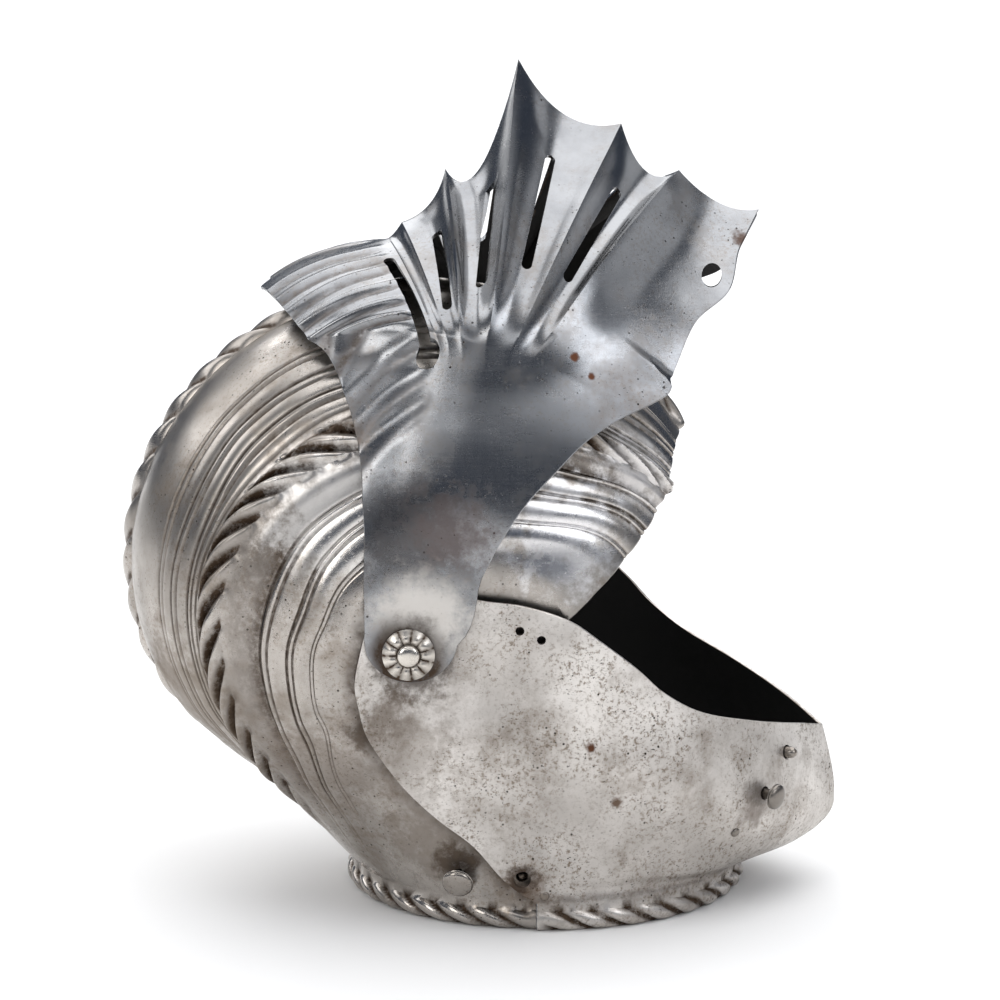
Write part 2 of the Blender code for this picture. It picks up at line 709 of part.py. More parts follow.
def face_at(obj, x, z):
    """Outer point of a piece on the near side, and the way that it faces."""
    tree = BVHTree.FromPolygons([v.co for v in obj.data.vertices],
                                [tuple(p.vertices) for p in obj.data.polygons])
    hit, normal = tree.ray_cast(Vector((x, -1.0, z)), Vector((0, 1, 0)))[:2]
    return hit, normal


def times(spot, size):
    """Place in side view from its shares of a size."""
    return spot[0] * size, spot[1] * size


def drill(obj, name, x, z, radius, place, sides=12, both_sides=False):
    hit, normal = face_at(obj, x, z)
    for side in ((1, -1) if both_sides else (1,)):
        spot = Vector((hit.x, side * hit.y, hit.z))
        way = Vector((normal.x, side * normal.y, normal.z))
        frame = side_matrix(*spot, way)
        depth = PLATE * 4
        cut(obj, pin_mesh(f"{name}_{side}", ((radius, -depth), (radius, depth)), frame, sides), place)


def slot_cutter(name, k, side):
    """Straight bar through the floor of one hollow of the visor, with round ends."""
    ends = {n: VISOR_SLOTS[n][k] for n in VISOR_SLOTS}
    near = visor_point(ends["share_out"], ends["column_out"])
    far = visor_point(ends["share_in"], ends["column_in"])
    run = (far - near).normalized()
    wide = Vector((0, 1, 0)).cross((near + far) / 2).normalized()
    deep = run.cross(wide).normalized() * SLOT_DEPTH
    wide = deep.cross(run).normalized()
    half = ends["width"] * VISOR_CHEEK_RADIUS / 2
    outline = []
    for middle, radius, turn in ((near, half, math.pi), (far, half * ends["keyhole"], 0.0)):
        opening = math.pi / 2 if middle is near else math.pi - math.asin(half / radius)
        for i in range(SLOT_END_SIDES + 1):
            a = turn + mix(-opening, opening, i / SLOT_END_SIDES)
            outline.append(middle + run * radius * math.cos(a) + wide * radius * math.sin(a))
    bm = bmesh.new()
    rings = [[bm.verts.new(Vector((q.x, side * q.y, q.z))) for q in (p + deep * way for p in outline)]
             for way in (1, -1)]
    for i in range(len(outline)):
        j = (i + 1) % len(outline)
        bm.faces.new((rings[0][i], rings[0][j], rings[1][j], rings[1][i]))
    bm.faces.new(rings[0])
    bm.faces.new(rings[1])
    bmesh.ops.recalc_face_normals(bm, faces=bm.faces)
    mesh = bpy.data.meshes.new(name)
    bm.to_mesh(mesh)
    bm.free()
    obj = bpy.data.objects.new(name, mesh)
    bpy.context.scene.collection.objects.link(obj)
    return obj


# Bolts, catches and rivets

def make_pivot_bolt(name, side, skull, visor, material, place):
    """Bolt with a burr inside the skull and a petalled rosette outside the visor."""
    sides = 2 * ROSETTE_PETALS
    over = Under([visor])
    seats = [over.side(ROSETTE_RADIUS * share * math.cos(a), ROSETTE_RADIUS * share * math.sin(a))
             for share in (0.5, 1.0) for a in (math.tau * i / sides for i in range(sides))]
    inside = -face_at(skull, 0, 0)[0].y - PLATE - BURR_ROOM
    outside = GAP - min(seats)
    top = outside + ROSETTE_HEIGHT
    profile = ((BURR_RADIUS, inside - BURR_HEIGHT), (BURR_RADIUS, inside), (BOLT_RADIUS, inside),
               (BOLT_RADIUS, outside), (ROSETTE_RADIUS, outside), (ROSETTE_RADIUS, mix(outside, top, 0.25)),
               (ROSETTE_RADIUS * 0.86, mix(outside, top, 0.55)),
               (ROSETTE_RADIUS * 0.56, mix(outside, top, 0.35)),
               (ROSETTE_RADIUS * 0.46, mix(outside, top, 0.8)), (ROSETTE_RADIUS * 0.2, top))
    frame = Matrix.Rotation(math.radians(90 if side < 0 else -90), 4, 'X')
    bolt = pin_mesh(name, profile, frame, sides, material)
    for i, vertex in enumerate(bolt.data.vertices):
        ring = i // sides
        if ring in (5, 6) and i % 2:
            vertex.co.y -= side * ROSETTE_HEIGHT * 0.16
    bolt.location = place
    return bolt


def make_catch(name, carrier, outer_plate, stud, button, head, stud_height, material, place):
    """Stud and push-button on one leaf inside the plate: a single piece."""
    ends = [face_at(carrier, *stud), face_at(carrier, *button)]
    way = (ends[0][1] + ends[1][1]).normalized()
    depth = PLATE * LEAF_DROP + GAP
    leaf = Skin()
    run = (ends[1][0] - ends[0][0]).normalized()
    across = way.cross(run).normalized() * LEAF_SIDE
    under = [ends[0][0] - way * depth - run * LEAF_SIDE, ends[1][0] - way * depth + run * LEAF_SIDE]
    corners = []
    for low in (0, LEAF_THICKNESS):
        corners.append(leaf.chain([under[0] - across - way * low, under[0] + across - way * low,
                                   under[1] + across - way * low, under[1] - across - way * low]))
    leaf.faces += [corners[0], corners[1][::-1]]
    for i in range(4):
        leaf.face(corners[0][i], corners[0][(i + 1) % 4], corners[1][(i + 1) % 4], corners[1][i])
    body = leaf.build(name, material, place)
    sunk = -depth - LEAF_THICKNESS / 2
    pins = (
        (ends[0][0], ((STUD_RADIUS, sunk), (STUD_RADIUS, stud_height * 0.5), (0, stud_height))),
        (ends[1][0], ((BUTTON_NECK_RADIUS, sunk), (BUTTON_NECK_RADIUS, BUTTON_NECK_HEIGHT),
                      (head * 0.8, BUTTON_NECK_HEIGHT + BUTTON_HEIGHT * 0.08),
                      (head, BUTTON_NECK_HEIGHT + BUTTON_HEIGHT * 0.35),
                      (head * 0.8, BUTTON_NECK_HEIGHT + BUTTON_HEIGHT * 0.8),
                      (0, BUTTON_NECK_HEIGHT + BUTTON_HEIGHT))),
    )
    for i, (spot, profile) in enumerate(pins):
        pin = pin_mesh(f"{name}_pin_{i}", profile, side_matrix(*spot, way), 10)
        pin.location = place
        pin.hide_render = True
        pin.display_type = 'WIRE'
        union = body.modifiers.new(pin.name, 'BOOLEAN')
        union.operation = 'UNION'
        union.solver = 'EXACT'
        union.object = pin
    for i, (spot, radius) in enumerate(((ends[0][0], STUD_RADIUS), (ends[1][0], BUTTON_NECK_RADIUS))):
        frame = side_matrix(*spot, way)
        reach = PLATE * 4
        wide = radius + CATCH_CLEARANCE
        cut(carrier, pin_mesh(f"{name}_hole_{i}", ((wide, -reach), (wide, reach)), frame, 12), place)
    if outer_plate:
        hit, normal = face_at(outer_plate, *stud)
        frame = side_matrix(*hit, way)
        wide = LACE_HOLE_RADIUS * 1.5
        cut(outer_plate, pin_mesh(f"{name}_window", ((wide, -reach), (wide, PLATE)), frame, 12), place)
    return body


def make_rivet(name, carrier, spot, material, place):
    """Rivet through a plate, with a low head outside and a burr inside."""
    hit, way = face_at(carrier, *spot)
    frame = side_matrix(*hit, way)
    wide = RIVET_RADIUS + GAP
    cut(carrier, pin_mesh(f"{name}_hole", ((wide, -PLATE * 3), (wide, PLATE * 3)), frame, 12), place)
    inside = -PLATE - RIVET_ROOM
    profile = ((RIVET_HEAD, inside - RIVET_RISE), (RIVET_HEAD, inside), (RIVET_RADIUS, inside),
               (RIVET_RADIUS, RIVET_ROOM), (RIVET_HEAD, RIVET_ROOM),
               (RIVET_HEAD * 0.6, RIVET_ROOM + RIVET_RISE * 0.8), (0, RIVET_ROOM + RIVET_RISE))
    rivet = pin_mesh(name, profile, frame, 10, material)
    rivet.location = place
    return rivet


def steel(name, colour, roughness):
    material = bpy.data.materials.new(name)
    material.use_nodes = True
    shader = material.node_tree.nodes["Principled BSDF"]
    shader.inputs["Base Color"].default_value = (*colour, 1)
    shader.inputs["Roughness"].default_value = roughness
    shader.inputs["Metallic"].default_value = 1.0
    return material


def main():
    for obj in list(bpy.data.objects):
        bpy.data.objects.remove(obj)
    place = Vector((PIVOT_X, 0, PIVOT_HEIGHT))
    skull = make_skull(steel("skull_steel", (0.56, 0.53, 0.50), 0.32), place)
    bevor = make_bevor(steel("bevor_steel", (0.52, 0.49, 0.46), 0.38), place, skull)
    visor = make_visor(steel("visor_steel", (0.48, 0.47, 0.48), 0.27), place, skull, bevor)
    bright = steel("bolt_steel", (0.60, 0.58, 0.55), 0.28)
    dark = steel("catch_steel", (0.40, 0.37, 0.34), 0.40)

    bore = BOLT_RADIUS + BOLT_CLEARANCE
    for side, hand in ((-1, "right"), (1, "left")):
        make_pivot_bolt(f"pivot_bolt_{hand}", side, skull, visor, bright, place)
    for obj in (skull, bevor, visor):
        drill(obj, f"{obj.name}_bore", 0, 0, bore, place, both_sides=True)
    for side in (1, -1):
        for k in range(len(VISOR_SLOTS["width"])):
            cut(visor, slot_cutter(f"slot_{k}_{side}", k, side), place)
    peg = visor_point(*PEG_HOLE)
    drill(visor, "peg_hole", peg.x, peg.z, PEG_HOLE_RADIUS, place, sides=14)
    for i, spot in enumerate(LACE_HOLES):
        drill(bevor, f"lace_hole_{i}", *times(spot, BEVOR_REACH), LACE_HOLE_RADIUS, place)
    make_catch("neck_catch", skull, bevor, times(NECK_STUD, NECK_WAIST_DROP),
               times(NECK_BUTTON, NECK_WAIST_DROP), NECK_BUTTON_RADIUS, -PLATE * STUD_TUCK, dark, place)
    make_catch("visor_catch", bevor, None, times(VISOR_STUD, BEVOR_REACH), times(VISOR_BUTTON, BEVOR_REACH),
               VISOR_BUTTON_RADIUS, STUD_HEIGHT, dark, place)
    make_rivet("bevor_rivet_front", bevor, times(FRONT_RIVET, BEVOR_REACH), dark, place)
    make_rivet("bevor_rivet_neck", bevor, times(NECK_RIVET, NECK_WAIST_DROP), dark, place)


main()
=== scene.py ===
import math

import bmesh
import bpy
from mathutils import Matrix, Vector, noise
from mathutils.bvhtree import BVHTree


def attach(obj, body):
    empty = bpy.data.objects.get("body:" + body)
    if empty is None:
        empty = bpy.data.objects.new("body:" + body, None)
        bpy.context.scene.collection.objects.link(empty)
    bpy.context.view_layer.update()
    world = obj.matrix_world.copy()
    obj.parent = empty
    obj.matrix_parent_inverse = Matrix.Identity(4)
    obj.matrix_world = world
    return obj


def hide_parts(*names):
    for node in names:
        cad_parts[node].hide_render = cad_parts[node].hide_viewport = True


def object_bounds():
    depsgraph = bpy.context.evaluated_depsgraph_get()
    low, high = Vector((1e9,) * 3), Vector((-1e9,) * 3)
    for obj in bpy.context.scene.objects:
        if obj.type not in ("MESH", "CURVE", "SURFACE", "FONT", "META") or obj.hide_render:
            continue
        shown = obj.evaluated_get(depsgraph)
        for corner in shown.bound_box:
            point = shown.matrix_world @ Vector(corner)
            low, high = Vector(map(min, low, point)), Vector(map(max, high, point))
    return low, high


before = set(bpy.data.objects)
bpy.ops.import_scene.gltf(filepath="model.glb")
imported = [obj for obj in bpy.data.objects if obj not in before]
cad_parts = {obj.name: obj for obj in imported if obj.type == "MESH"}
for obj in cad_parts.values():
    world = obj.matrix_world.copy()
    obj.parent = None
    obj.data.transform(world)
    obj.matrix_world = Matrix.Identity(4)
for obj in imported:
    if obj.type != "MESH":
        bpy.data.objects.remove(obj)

cadBox = [[float(value) for value in corner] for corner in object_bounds()]
print("solids loaded", sorted(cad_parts))

# Everything is worked out round the pivots that carry bevor and visor, then moved here
pivotPlace = Vector((-0.0301, 0, 0.1332))
plateThick = 0.0018
gap = 0.0003
shellEdge = 50  # degrees from which an edge of a plate is shaded sharp
insideGrime = 2.0  # marks the inner face of a plate
boxRoom = 0.00005  # how far every plate stays inside the plain solids


# small helpers

def columnsOf(header, *rows):
    return {name: [row[i] for row in rows] for i, name in enumerate(header)}


def curveAt(rows, key, column, at):
    # a smooth curve through the rows of a table
    xs, ys = rows[key], rows[column]
    last = len(xs) - 1
    at = min(max(at, xs[0]), xs[-1])
    i = max(k for k in range(last) if xs[k] <= at)

    def slope(k):
        a, b = max(k - 1, 0), min(k + 1, last)
        return (ys[b] - ys[a]) / (xs[b] - xs[a])

    span = xs[i + 1] - xs[i]
    t = (at - xs[i]) / span
    return ((1 + 2 * t) * (1 - t) ** 2 * ys[i] + t * (1 - t) ** 2 * span * slope(i)
            + t * t * (3 - 2 * t) * ys[i + 1] + t * t * (t - 1) * span * slope(i + 1))


def alongOutline(outline, share, size):
    steps = [0.0]
    for i in range(1, len(outline["x"])):
        steps.append(steps[-1] + math.hypot(outline["x"][i] - outline["x"][i - 1],
                                            outline["z"][i] - outline["z"][i - 1]))
    rows = {"at": [s / steps[-1] for s in steps], **outline}
    return size * curveAt(rows, "at", "x", share), size * curveAt(rows, "at", "z", share)


def mix(a, b, share):
    return a + (b - a) * share


def ease(low, high, at):
    t = min(max((at - low) / (high - low), 0.0), 1.0)
    return t * t * (3 - 2 * t)


def bump(off, width):
    return math.exp(-(off / width) ** 2)


def sidePoint(radius, angle, y):
    return Vector((radius * math.cos(math.radians(angle)), y, radius * math.sin(math.radians(angle))))


def spread(*stretches):
    # places along a grid: (from, to, count) stretches laid end to end
    places = []
    for low, high, count in stretches:
        places += [mix(low, high, i / count) for i in range(count)]
    return places + [stretches[-1][1]]


def bothHalves(near, far):
    # a full row, from the near side over the middle to the far side
    return near[::-1] + far[1:]


def mirroredRow(half):
    return bothHalves(half, [Vector((p.x, -p.y, p.z)) for p in half])


def gridNormals(grid, outward):
    rows, cols = len(grid), len(grid[0])
    found = [[None] * cols for _ in range(rows)]
    middle = cols // 2
    for i in range(rows):
        up, low = grid[max(i - 1, 0)], grid[min(i + 1, rows - 1)]
        for j in range(cols):
            across = grid[i][min(j + 1, cols - 1)] - grid[i][max(j - 1, 0)]
            if across.length < 1e-6:
                across = low[min(j + 1, cols - 1)] - low[max(j - 1, 0)]
            found[i][j] = (low[j] - up[j]).cross(across).normalized()
        for j in [*range(middle, cols), *range(middle, -1, -1)]:
            inward = j - 1 if j > middle else j + 1
            if j != middle and (grid[i][j] - grid[i][inward]).length < 1e-6:
                found[i][j] = found[i][inward]
    if found[rows // 2][middle].dot(outward) < 0:
        found = [[-n for n in row] for row in found]
    return found


def pieceFrom(name, bm, material=None):
    mesh = bpy.data.meshes.new(name)
    bm.to_mesh(mesh)
    bm.free()
    if material:
        mesh.materials.append(material)
    piece = bpy.data.objects.new(name, mesh)
    bpy.context.scene.collection.objects.link(piece)
    return piece


def prism(name, rings):
    # two rings of points, joined all round and closed at both ends
    bm = bmesh.new()
    low, high = ([bm.verts.new(p + pivotPlace) for p in ring] for ring in rings)
    for i in range(len(low)):
        j = (i + 1) % len(low)
        bm.faces.new((low[i], low[j], high[j], high[i]))
    bm.faces.new(low)
    bm.faces.new(high)
    bmesh.ops.recalc_face_normals(bm, faces=bm.faces)
    return pieceFrom(name, bm)


class Shell:
    # one closed plate: chains of points joined by faces, each point with its share of darkening towards a
    # dark brown; on the skull this includes painted shade along the bevor's rear edge

    def __init__(self):
        self.points, self.grime, self.faces, self.known = [], [], [], {}

    def chain(self, points, grime=None):
        found = []
        for i, point in enumerate(points):
            key = (round(point.x, 7), round(point.y, 7), round(point.z, 7))
            if key not in self.known:
                self.known[key] = len(self.points)
                self.points.append(point)
                self.grime.append(grime[i] if grime else 0.0)
            found.append(self.known[key])
        return found

    def face(self, *corners):
        ring = [c for i, c in enumerate(corners) if c != corners[i - 1]]
        if len(set(ring)) == len(ring) > 2:
            self.faces.append(ring)

    def run(self, chain):
        steps = [0.0]
        for a, b in zip(chain, chain[1:]):
            steps.append(steps[-1] + (self.points[a] - self.points[b]).length)
        return [s / max(steps[-1], 1e-9) for s in steps]

    def join(self, first, second):
        if len(first) == len(second):
            for i in range(len(first) - 1):
                self.face(first[i], first[i + 1], second[i + 1], second[i])
            return
        a, b = self.run(first), self.run(second)
        i = j = 0
        while i < len(first) - 1 or j < len(second) - 1:
            if j == len(second) - 1 or (i < len(first) - 1 and a[i + 1] <= b[j + 1]):
                self.face(first[i], first[i + 1], second[j])
                i += 1
            else:
                self.face(first[i], second[j + 1], second[j])
                j += 1

    def build(self, name, material):
        bm = bmesh.new()
        layer = bm.verts.layers.float.new("grime")
        verts = [bm.verts.new(p + pivotPlace) for p in self.points]
        for vert, value in zip(verts, self.grime):
            vert[layer] = value
        for ring in self.faces:
            if bm.faces.get([verts[i] for i in ring]) is None:
                bm.faces.new([verts[i] for i in ring])
        bmesh.ops.recalc_face_normals(bm, faces=bm.faces)
        if bm.calc_volume(signed=True) < 0:
            bmesh.ops.reverse_faces(bm, faces=bm.faces)
        piece = pieceFrom(name, bm, material)
        shadeSteel(piece, shellEdge)
        return piece


def plateShell(outer, inner, outDarkening, inGrime, beads=(), beadGrime=()):
    # rounded cut edges on the first row and on both sides, and on the last row where it has no roped rim
    shell = Shell()
    outRows = [shell.chain(row, grime) for row, grime in zip(outer, outDarkening)]
    inRows = [shell.chain(row, grime) for row, grime in zip(inner, inGrime)]
    for rows in (outRows, inRows):
        for a, b in zip(rows, rows[1:]):
            shell.join(a, b)

    def rounded(edge, before, facing):
        rounds = []
        for turn in (50, 90, 130):
            c, s = math.cos(math.radians(turn)), math.sin(math.radians(turn))
            ring = []
            for p, q, r in zip(edge, before, facing):
                thick = (p - r).length
                out = (p - q).normalized() if (p - q).length > 1e-7 else Vector()
                ring.append(p.lerp(r, 0.5 - c / 2) + out * thick * 0.28 * s)
            rounds.append(ring)
        return rounds

    def edgeChains(first, middle, last):
        # every chain of a rounded edge shares its ends with the neighbouring edges
        chains = [first] + [shell.chain(ring) for ring in middle] + [last]
        for a, b in zip(chains, chains[1:]):
            shell.join(a, b)
        return chains

    top = edgeChains(outRows[0], rounded(outer[0], outer[1], inner[0]), inRows[0])
    beadRows = [shell.chain(bead, grime) for bead, grime in zip(beads, beadGrime)]
    bottom = [outRows[-1]] + beadRows + [inRows[-1]]
    if not beads:
        bottom = edgeChains(outRows[-1], rounded(outer[-1], outer[-2], inner[-1]), inRows[-1])
    else:
        for a, b in zip(bottom, bottom[1:]):
            shell.join(a, b)
    for side, near in ((0, 1), (-1, -2)):
        outSide, inSide = [row[side] for row in outRows], [row[side] for row in inRows]
        rings = rounded([row[side] for row in outer], [row[near] for row in outer],
                        [row[side] for row in inner]) if len(outer) == len(inner) else []
        chains = [outSide]
        for k, ring in enumerate(rings):
            chain = shell.chain(ring[1:-1])
            first = top[k + 1][side]
            last = bottom[k + 1][side] if not beads else outSide[-1] if k < 1 else inSide[-1]
            chains.append([first] + chain + [last])
        chains.append(inSide)
        for a, b in zip(chains, chains[1:]):
            shell.join(a, b)
    if beads:
        for side in (0, -1):
            shell.face(*[chain[side] for chain in bottom])
    return shell


def shadeSteel(piece, angle=38):
    piece.data.shade_smooth()
    piece.data.set_sharp_from_angle(angle=math.radians(angle))


def lathe(name, profile, place, sides=48, material=None):
    # turned piece, its profile as (radius, height) pairs along the z axis of the place matrix
    bm = bmesh.new()
    rings = []
    for radius, height in profile:
        if radius == 0:
            rings.append([bm.verts.new(place @ Vector((0, 0, height)))])
            continue
        rings.append([bm.verts.new(place @ Vector((radius * math.cos(a), radius * math.sin(a), height)))
                      for a in (math.tau * i / sides for i in range(sides))])
    for low, high in zip(rings, rings[1:]):
        for i in range(sides):
            a, b = low[i % len(low)], low[(i + 1) % len(low)]
            c, d = high[(i + 1) % len(high)], high[i % len(high)]
            corners = [v for k, v in enumerate((a, b, c, d)) if v not in (a, b, c, d)[:k]]
            if len(corners) > 2:
                bm.faces.new(corners)
    for ring in (rings[0], rings[-1]):
        if len(ring) > 1:
            bm.faces.new(ring)
    bmesh.ops.recalc_face_normals(bm, faces=bm.faces)
    piece = pieceFrom(name, bm, material)
    shadeSteel(piece)
    return piece


def joined(name, pieces, material=None):
    # several meshes made into one piece
    bm = bmesh.new()
    for piece in pieces:
        bm.from_mesh(piece.data)
        bpy.data.objects.remove(piece)
    return pieceFrom(name, bm, material)


def cutThrough(piece, cutters):
    # the cutters are joined first, so that the plate is cut once
    tool = joined(piece.name + "_cutters", cutters)
    hole = piece.modifiers.new("holes", "BOOLEAN")
    hole.operation = "DIFFERENCE"
    hole.solver = "EXACT"
    hole.object = tool
    cut = bpy.data.meshes.new_from_object(piece.evaluated_get(bpy.context.evaluated_depsgraph_get()))
    piece.modifiers.clear()
    piece.data = cut
    bpy.data.objects.remove(tool)
    shadeSteel(piece)


def treeOf(piece):
    return BVHTree.FromPolygons([v.co - pivotPlace for v in piece.data.vertices],
                                [tuple(p.vertices) for p in piece.data.polygons])


def faceAt(tree, x, z, patch=0.003):
    # outer point on the near side and the way that the plate faces there
    hit = tree.ray_cast(Vector((x, -1, z)), Vector((0, 1, 0)))[0]
    way = Vector()
    for dx, dz in ((-1, -1), (1, -1), (1, 1), (-1, 1), (0, 0)):
        normal = tree.ray_cast(Vector((x + dx * patch, -1, z + dz * patch)), Vector((0, 1, 0)))[1]
        if normal:
            way += normal if normal.y < 0 else -normal
    return hit, way.normalized()


def standOn(spot, way):
    return Matrix.Translation(spot + pivotPlace) @ way.to_track_quat("Z", "X").to_matrix().to_4x4()


def hammered(point, depth, size):
    # low unevenness of plate that was shaped by hand
    return depth * noise.noise(point / size)


# finishes

class Nodes:
    # short ways to add shader nodes

    def __init__(self, name):
        self.material = bpy.data.materials.new(name)
        self.material.use_nodes = True
        self.tree = self.material.node_tree
        self.shader = self.tree.nodes["Principled BSDF"]
        self.place = self.add("ShaderNodeTexCoord").outputs["Object"]

    def add(self, kind, **settings):
        node = self.tree.nodes.new(kind)
        for key, value in settings.items():
            setattr(node, key, value)
        return node

    def wire(self, source, socket):
        if isinstance(source, (int, float, tuple)):
            socket.default_value = source
        else:
            self.tree.links.new(source, socket)

    def math(self, kind, a, b=0.0, clamp=False):
        node = self.add("ShaderNodeMath", operation=kind, use_clamp=clamp)
        self.wire(a, node.inputs[0])
        self.wire(b, node.inputs[1])
        return node.outputs[0]

    def times(self, a, b, clamp=False):
        return self.math("MULTIPLY", a, b, clamp)

    def plus(self, a, b, clamp=False):
        return self.math("ADD", a, b, clamp)

    def less(self, a, b, clamp=False):
        return self.math("SUBTRACT", a, b, clamp)

    def blend(self, share, a, b):
        node = self.add("ShaderNodeMix", data_type="RGBA")
        self.wire(share, node.inputs["Factor"])
        self.wire(a if not isinstance(a, tuple) else (*a, 1), node.inputs["A"])
        self.wire(b if not isinstance(b, tuple) else (*b, 1), node.inputs["B"])
        return node.outputs["Result"]

    def window(self, value, low, high, toLow=0.0, toHigh=1.0):
        node = self.add("ShaderNodeMapRange", interpolation_type="SMOOTHSTEP")
        self.wire(value, node.inputs["Value"])
        node.inputs["From Min"].default_value = low
        node.inputs["From Max"].default_value = high
        node.inputs["To Min"].default_value = toLow
        node.inputs["To Max"].default_value = toHigh
        return node.outputs["Result"]

    def stretched(self, scale, turn=(0, 0, 0)):
        node = self.add("ShaderNodeMapping")
        self.wire(self.place, node.inputs["Vector"])
        node.inputs["Scale"].default_value = scale
        node.inputs["Rotation"].default_value = [math.radians(t) for t in turn]
        return node.outputs["Vector"]

    def cloud(self, scale, detail=4.0, roughness=0.55, vector=None):
        node = self.add("ShaderNodeTexNoise")
        self.wire(vector if vector is not None else self.place, node.inputs["Vector"])
        node.inputs["Scale"].default_value = scale
        node.inputs["Detail"].default_value = detail
        node.inputs["Roughness"].default_value = roughness
        return node.outputs["Fac"]

    def specks(self, scale, size):
        # small round dots, most of them missing
        node = self.add("ShaderNodeTexVoronoi")
        self.wire(self.place, node.inputs["Vector"])
        node.inputs["Scale"].default_value = scale
        chance = self.add("ShaderNodeSeparateColor")
        self.wire(node.outputs["Color"], chance.inputs[0])
        reach = self.window(chance.outputs[0], 0.80, 1.0, 0.0, size)
        return self.window(self.less(node.outputs["Distance"], reach), -0.08, 0.02, 1.0, 0.0)

    def raggedPatch(self, place, reach, ragged=0.5):
        # 1 at the place, nothing beyond its reach, with a ragged border
        away = self.add("ShaderNodeVectorMath", operation="DISTANCE")
        self.wire(self.place, away.inputs[0])
        away.inputs[1].default_value = place
        rag = self.times(self.less(self.cloud(120, 5, 0.7), 0.5), reach * ragged * 4)
        return self.window(self.plus(away.outputs["Value"], rag), reach, reach * 0.35)


def wornSteel(name, look, stainsAndLightPatches=()):
    n = Nodes(name)
    wide = n.cloud(look["cloudScale"], 5, 0.6)
    colour = n.blend(n.window(wide, 0.35, 0.7), look["steel"], look["steelDeep"])
    film = n.window(n.cloud(look["cloudScale"] * 2.3, 8, 0.7), 0.48, 0.72)
    colour = n.blend(n.times(film, look["warmth"]), colour, look["patina"])

    # the darkening attribute blends the steel towards a dark brown; on the skull it includes painted shade
    # along the bevor's rear edge
    darkeningMask = n.add("ShaderNodeAttribute", attribute_name="grime").outputs["Fac"]
    inside = n.window(darkeningMask, 1.25, 1.7)
    breakup = n.window(n.cloud(240, 6, 0.75), 0.30, 0.60, 0.45, 1.25)
    darkAmount = n.times(n.times(darkeningMask, breakup), look["grime"], clamp=True)
    colour = n.blend(darkAmount, colour, look["grimeColour"])

    grouped = n.window(n.cloud(22, 6, 0.7), 0.40, 0.62, look["pitEven"], 1.0)
    dashes = n.cloud(1.0, 2, 0.6, n.stretched((700, 700, 1500), look["pitTurn"]))
    edge = 0.70 - look["pitSize"] * 0.1
    dashes = n.window(dashes, edge, edge + 0.07)
    dots = n.specks(look["pitScale"], look["dotSize"])
    pits = n.times(n.math("MAXIMUM", dashes, dots), grouped, clamp=True)
    mist = n.window(n.cloud(520, 4, 0.75), 0.48, 0.66)
    haze = n.times(mist, n.times(grouped, look["haze"]))
    colour = n.blend(haze, colour, look["patina"])
    colour = n.blend(n.times(pits, look["pitDark"]), colour, look["pitColour"])

    scratch = n.cloud(1.0, 3, 0.6, n.stretched((60, 60, 1300), look["brushTurn"]))
    across = n.cloud(1.0, 2, 0.5, n.stretched((1100, 45, 45), (14, 38, 12)))
    lines = n.plus(n.times(scratch, 0.7), n.times(across, 0.3))
    rough = n.times(n.less(lines, 0.5), look["scratch"])
    rough = n.plus(rough, n.window(wide, 0.3, 0.75, look["rough"], look["rough"] + look["roughVary"]))
    rough = n.plus(rough, n.times(film, look["roughVary"] * 0.8))
    rough = n.plus(rough, n.times(n.math("MAXIMUM", darkAmount, pits), look["dirtRough"]))
    metal = n.less(1.0, n.times(darkAmount, look["dirtDull"]), clamp=True)

    # patches of colour: real stains, and also painted highlights and painted reflections
    for one in stainsAndLightPatches:
        spot = n.times(n.raggedPatch(one["place"], one["reach"], one["ragged"]), one["strength"], clamp=True)
        colour = n.blend(spot, colour, one["colour"])
        rough = n.plus(rough, n.times(spot, one["rough"]))
        metal = n.less(metal, n.times(spot, one["dull"]), clamp=True)

    colour = n.blend(inside, colour, look["insideColour"])
    rough = n.plus(rough, n.times(inside, 0.3), clamp=True)
    metal = n.times(metal, n.less(1.0, inside))

    height = n.plus(n.times(n.cloud(34, 3, 0.5), look["dents"]), n.times(lines, look["lineDepth"]))
    height = n.less(height, n.times(pits, look["pitDepth"]))
    height = n.less(height, n.times(haze, look["hazeDepth"]))
    relief = n.add("ShaderNodeBump")
    relief.inputs["Strength"].default_value = look["relief"]
    relief.inputs["Distance"].default_value = 1.0
    n.wire(height, relief.inputs["Height"])

    n.wire(colour, n.shader.inputs["Base Color"])
    n.wire(rough, n.shader.inputs["Roughness"])
    n.wire(metal, n.shader.inputs["Metallic"])
    n.wire(relief.outputs["Normal"], n.shader.inputs["Normal"])
    return n.material


def stainOrLightPatch(x, y, z, reach, strength, colour, rough=0.3, dull=0.5, ragged=0.5):
    # a patch of colour at a place in side view from the pivot; it serves for real stains and also for painted
    # highlights and painted reflections
    return dict(place=tuple(pivotPlace + Vector((x, y, z))), reach=reach, strength=strength, colour=colour,
                rough=rough, dull=dull, ragged=ragged)


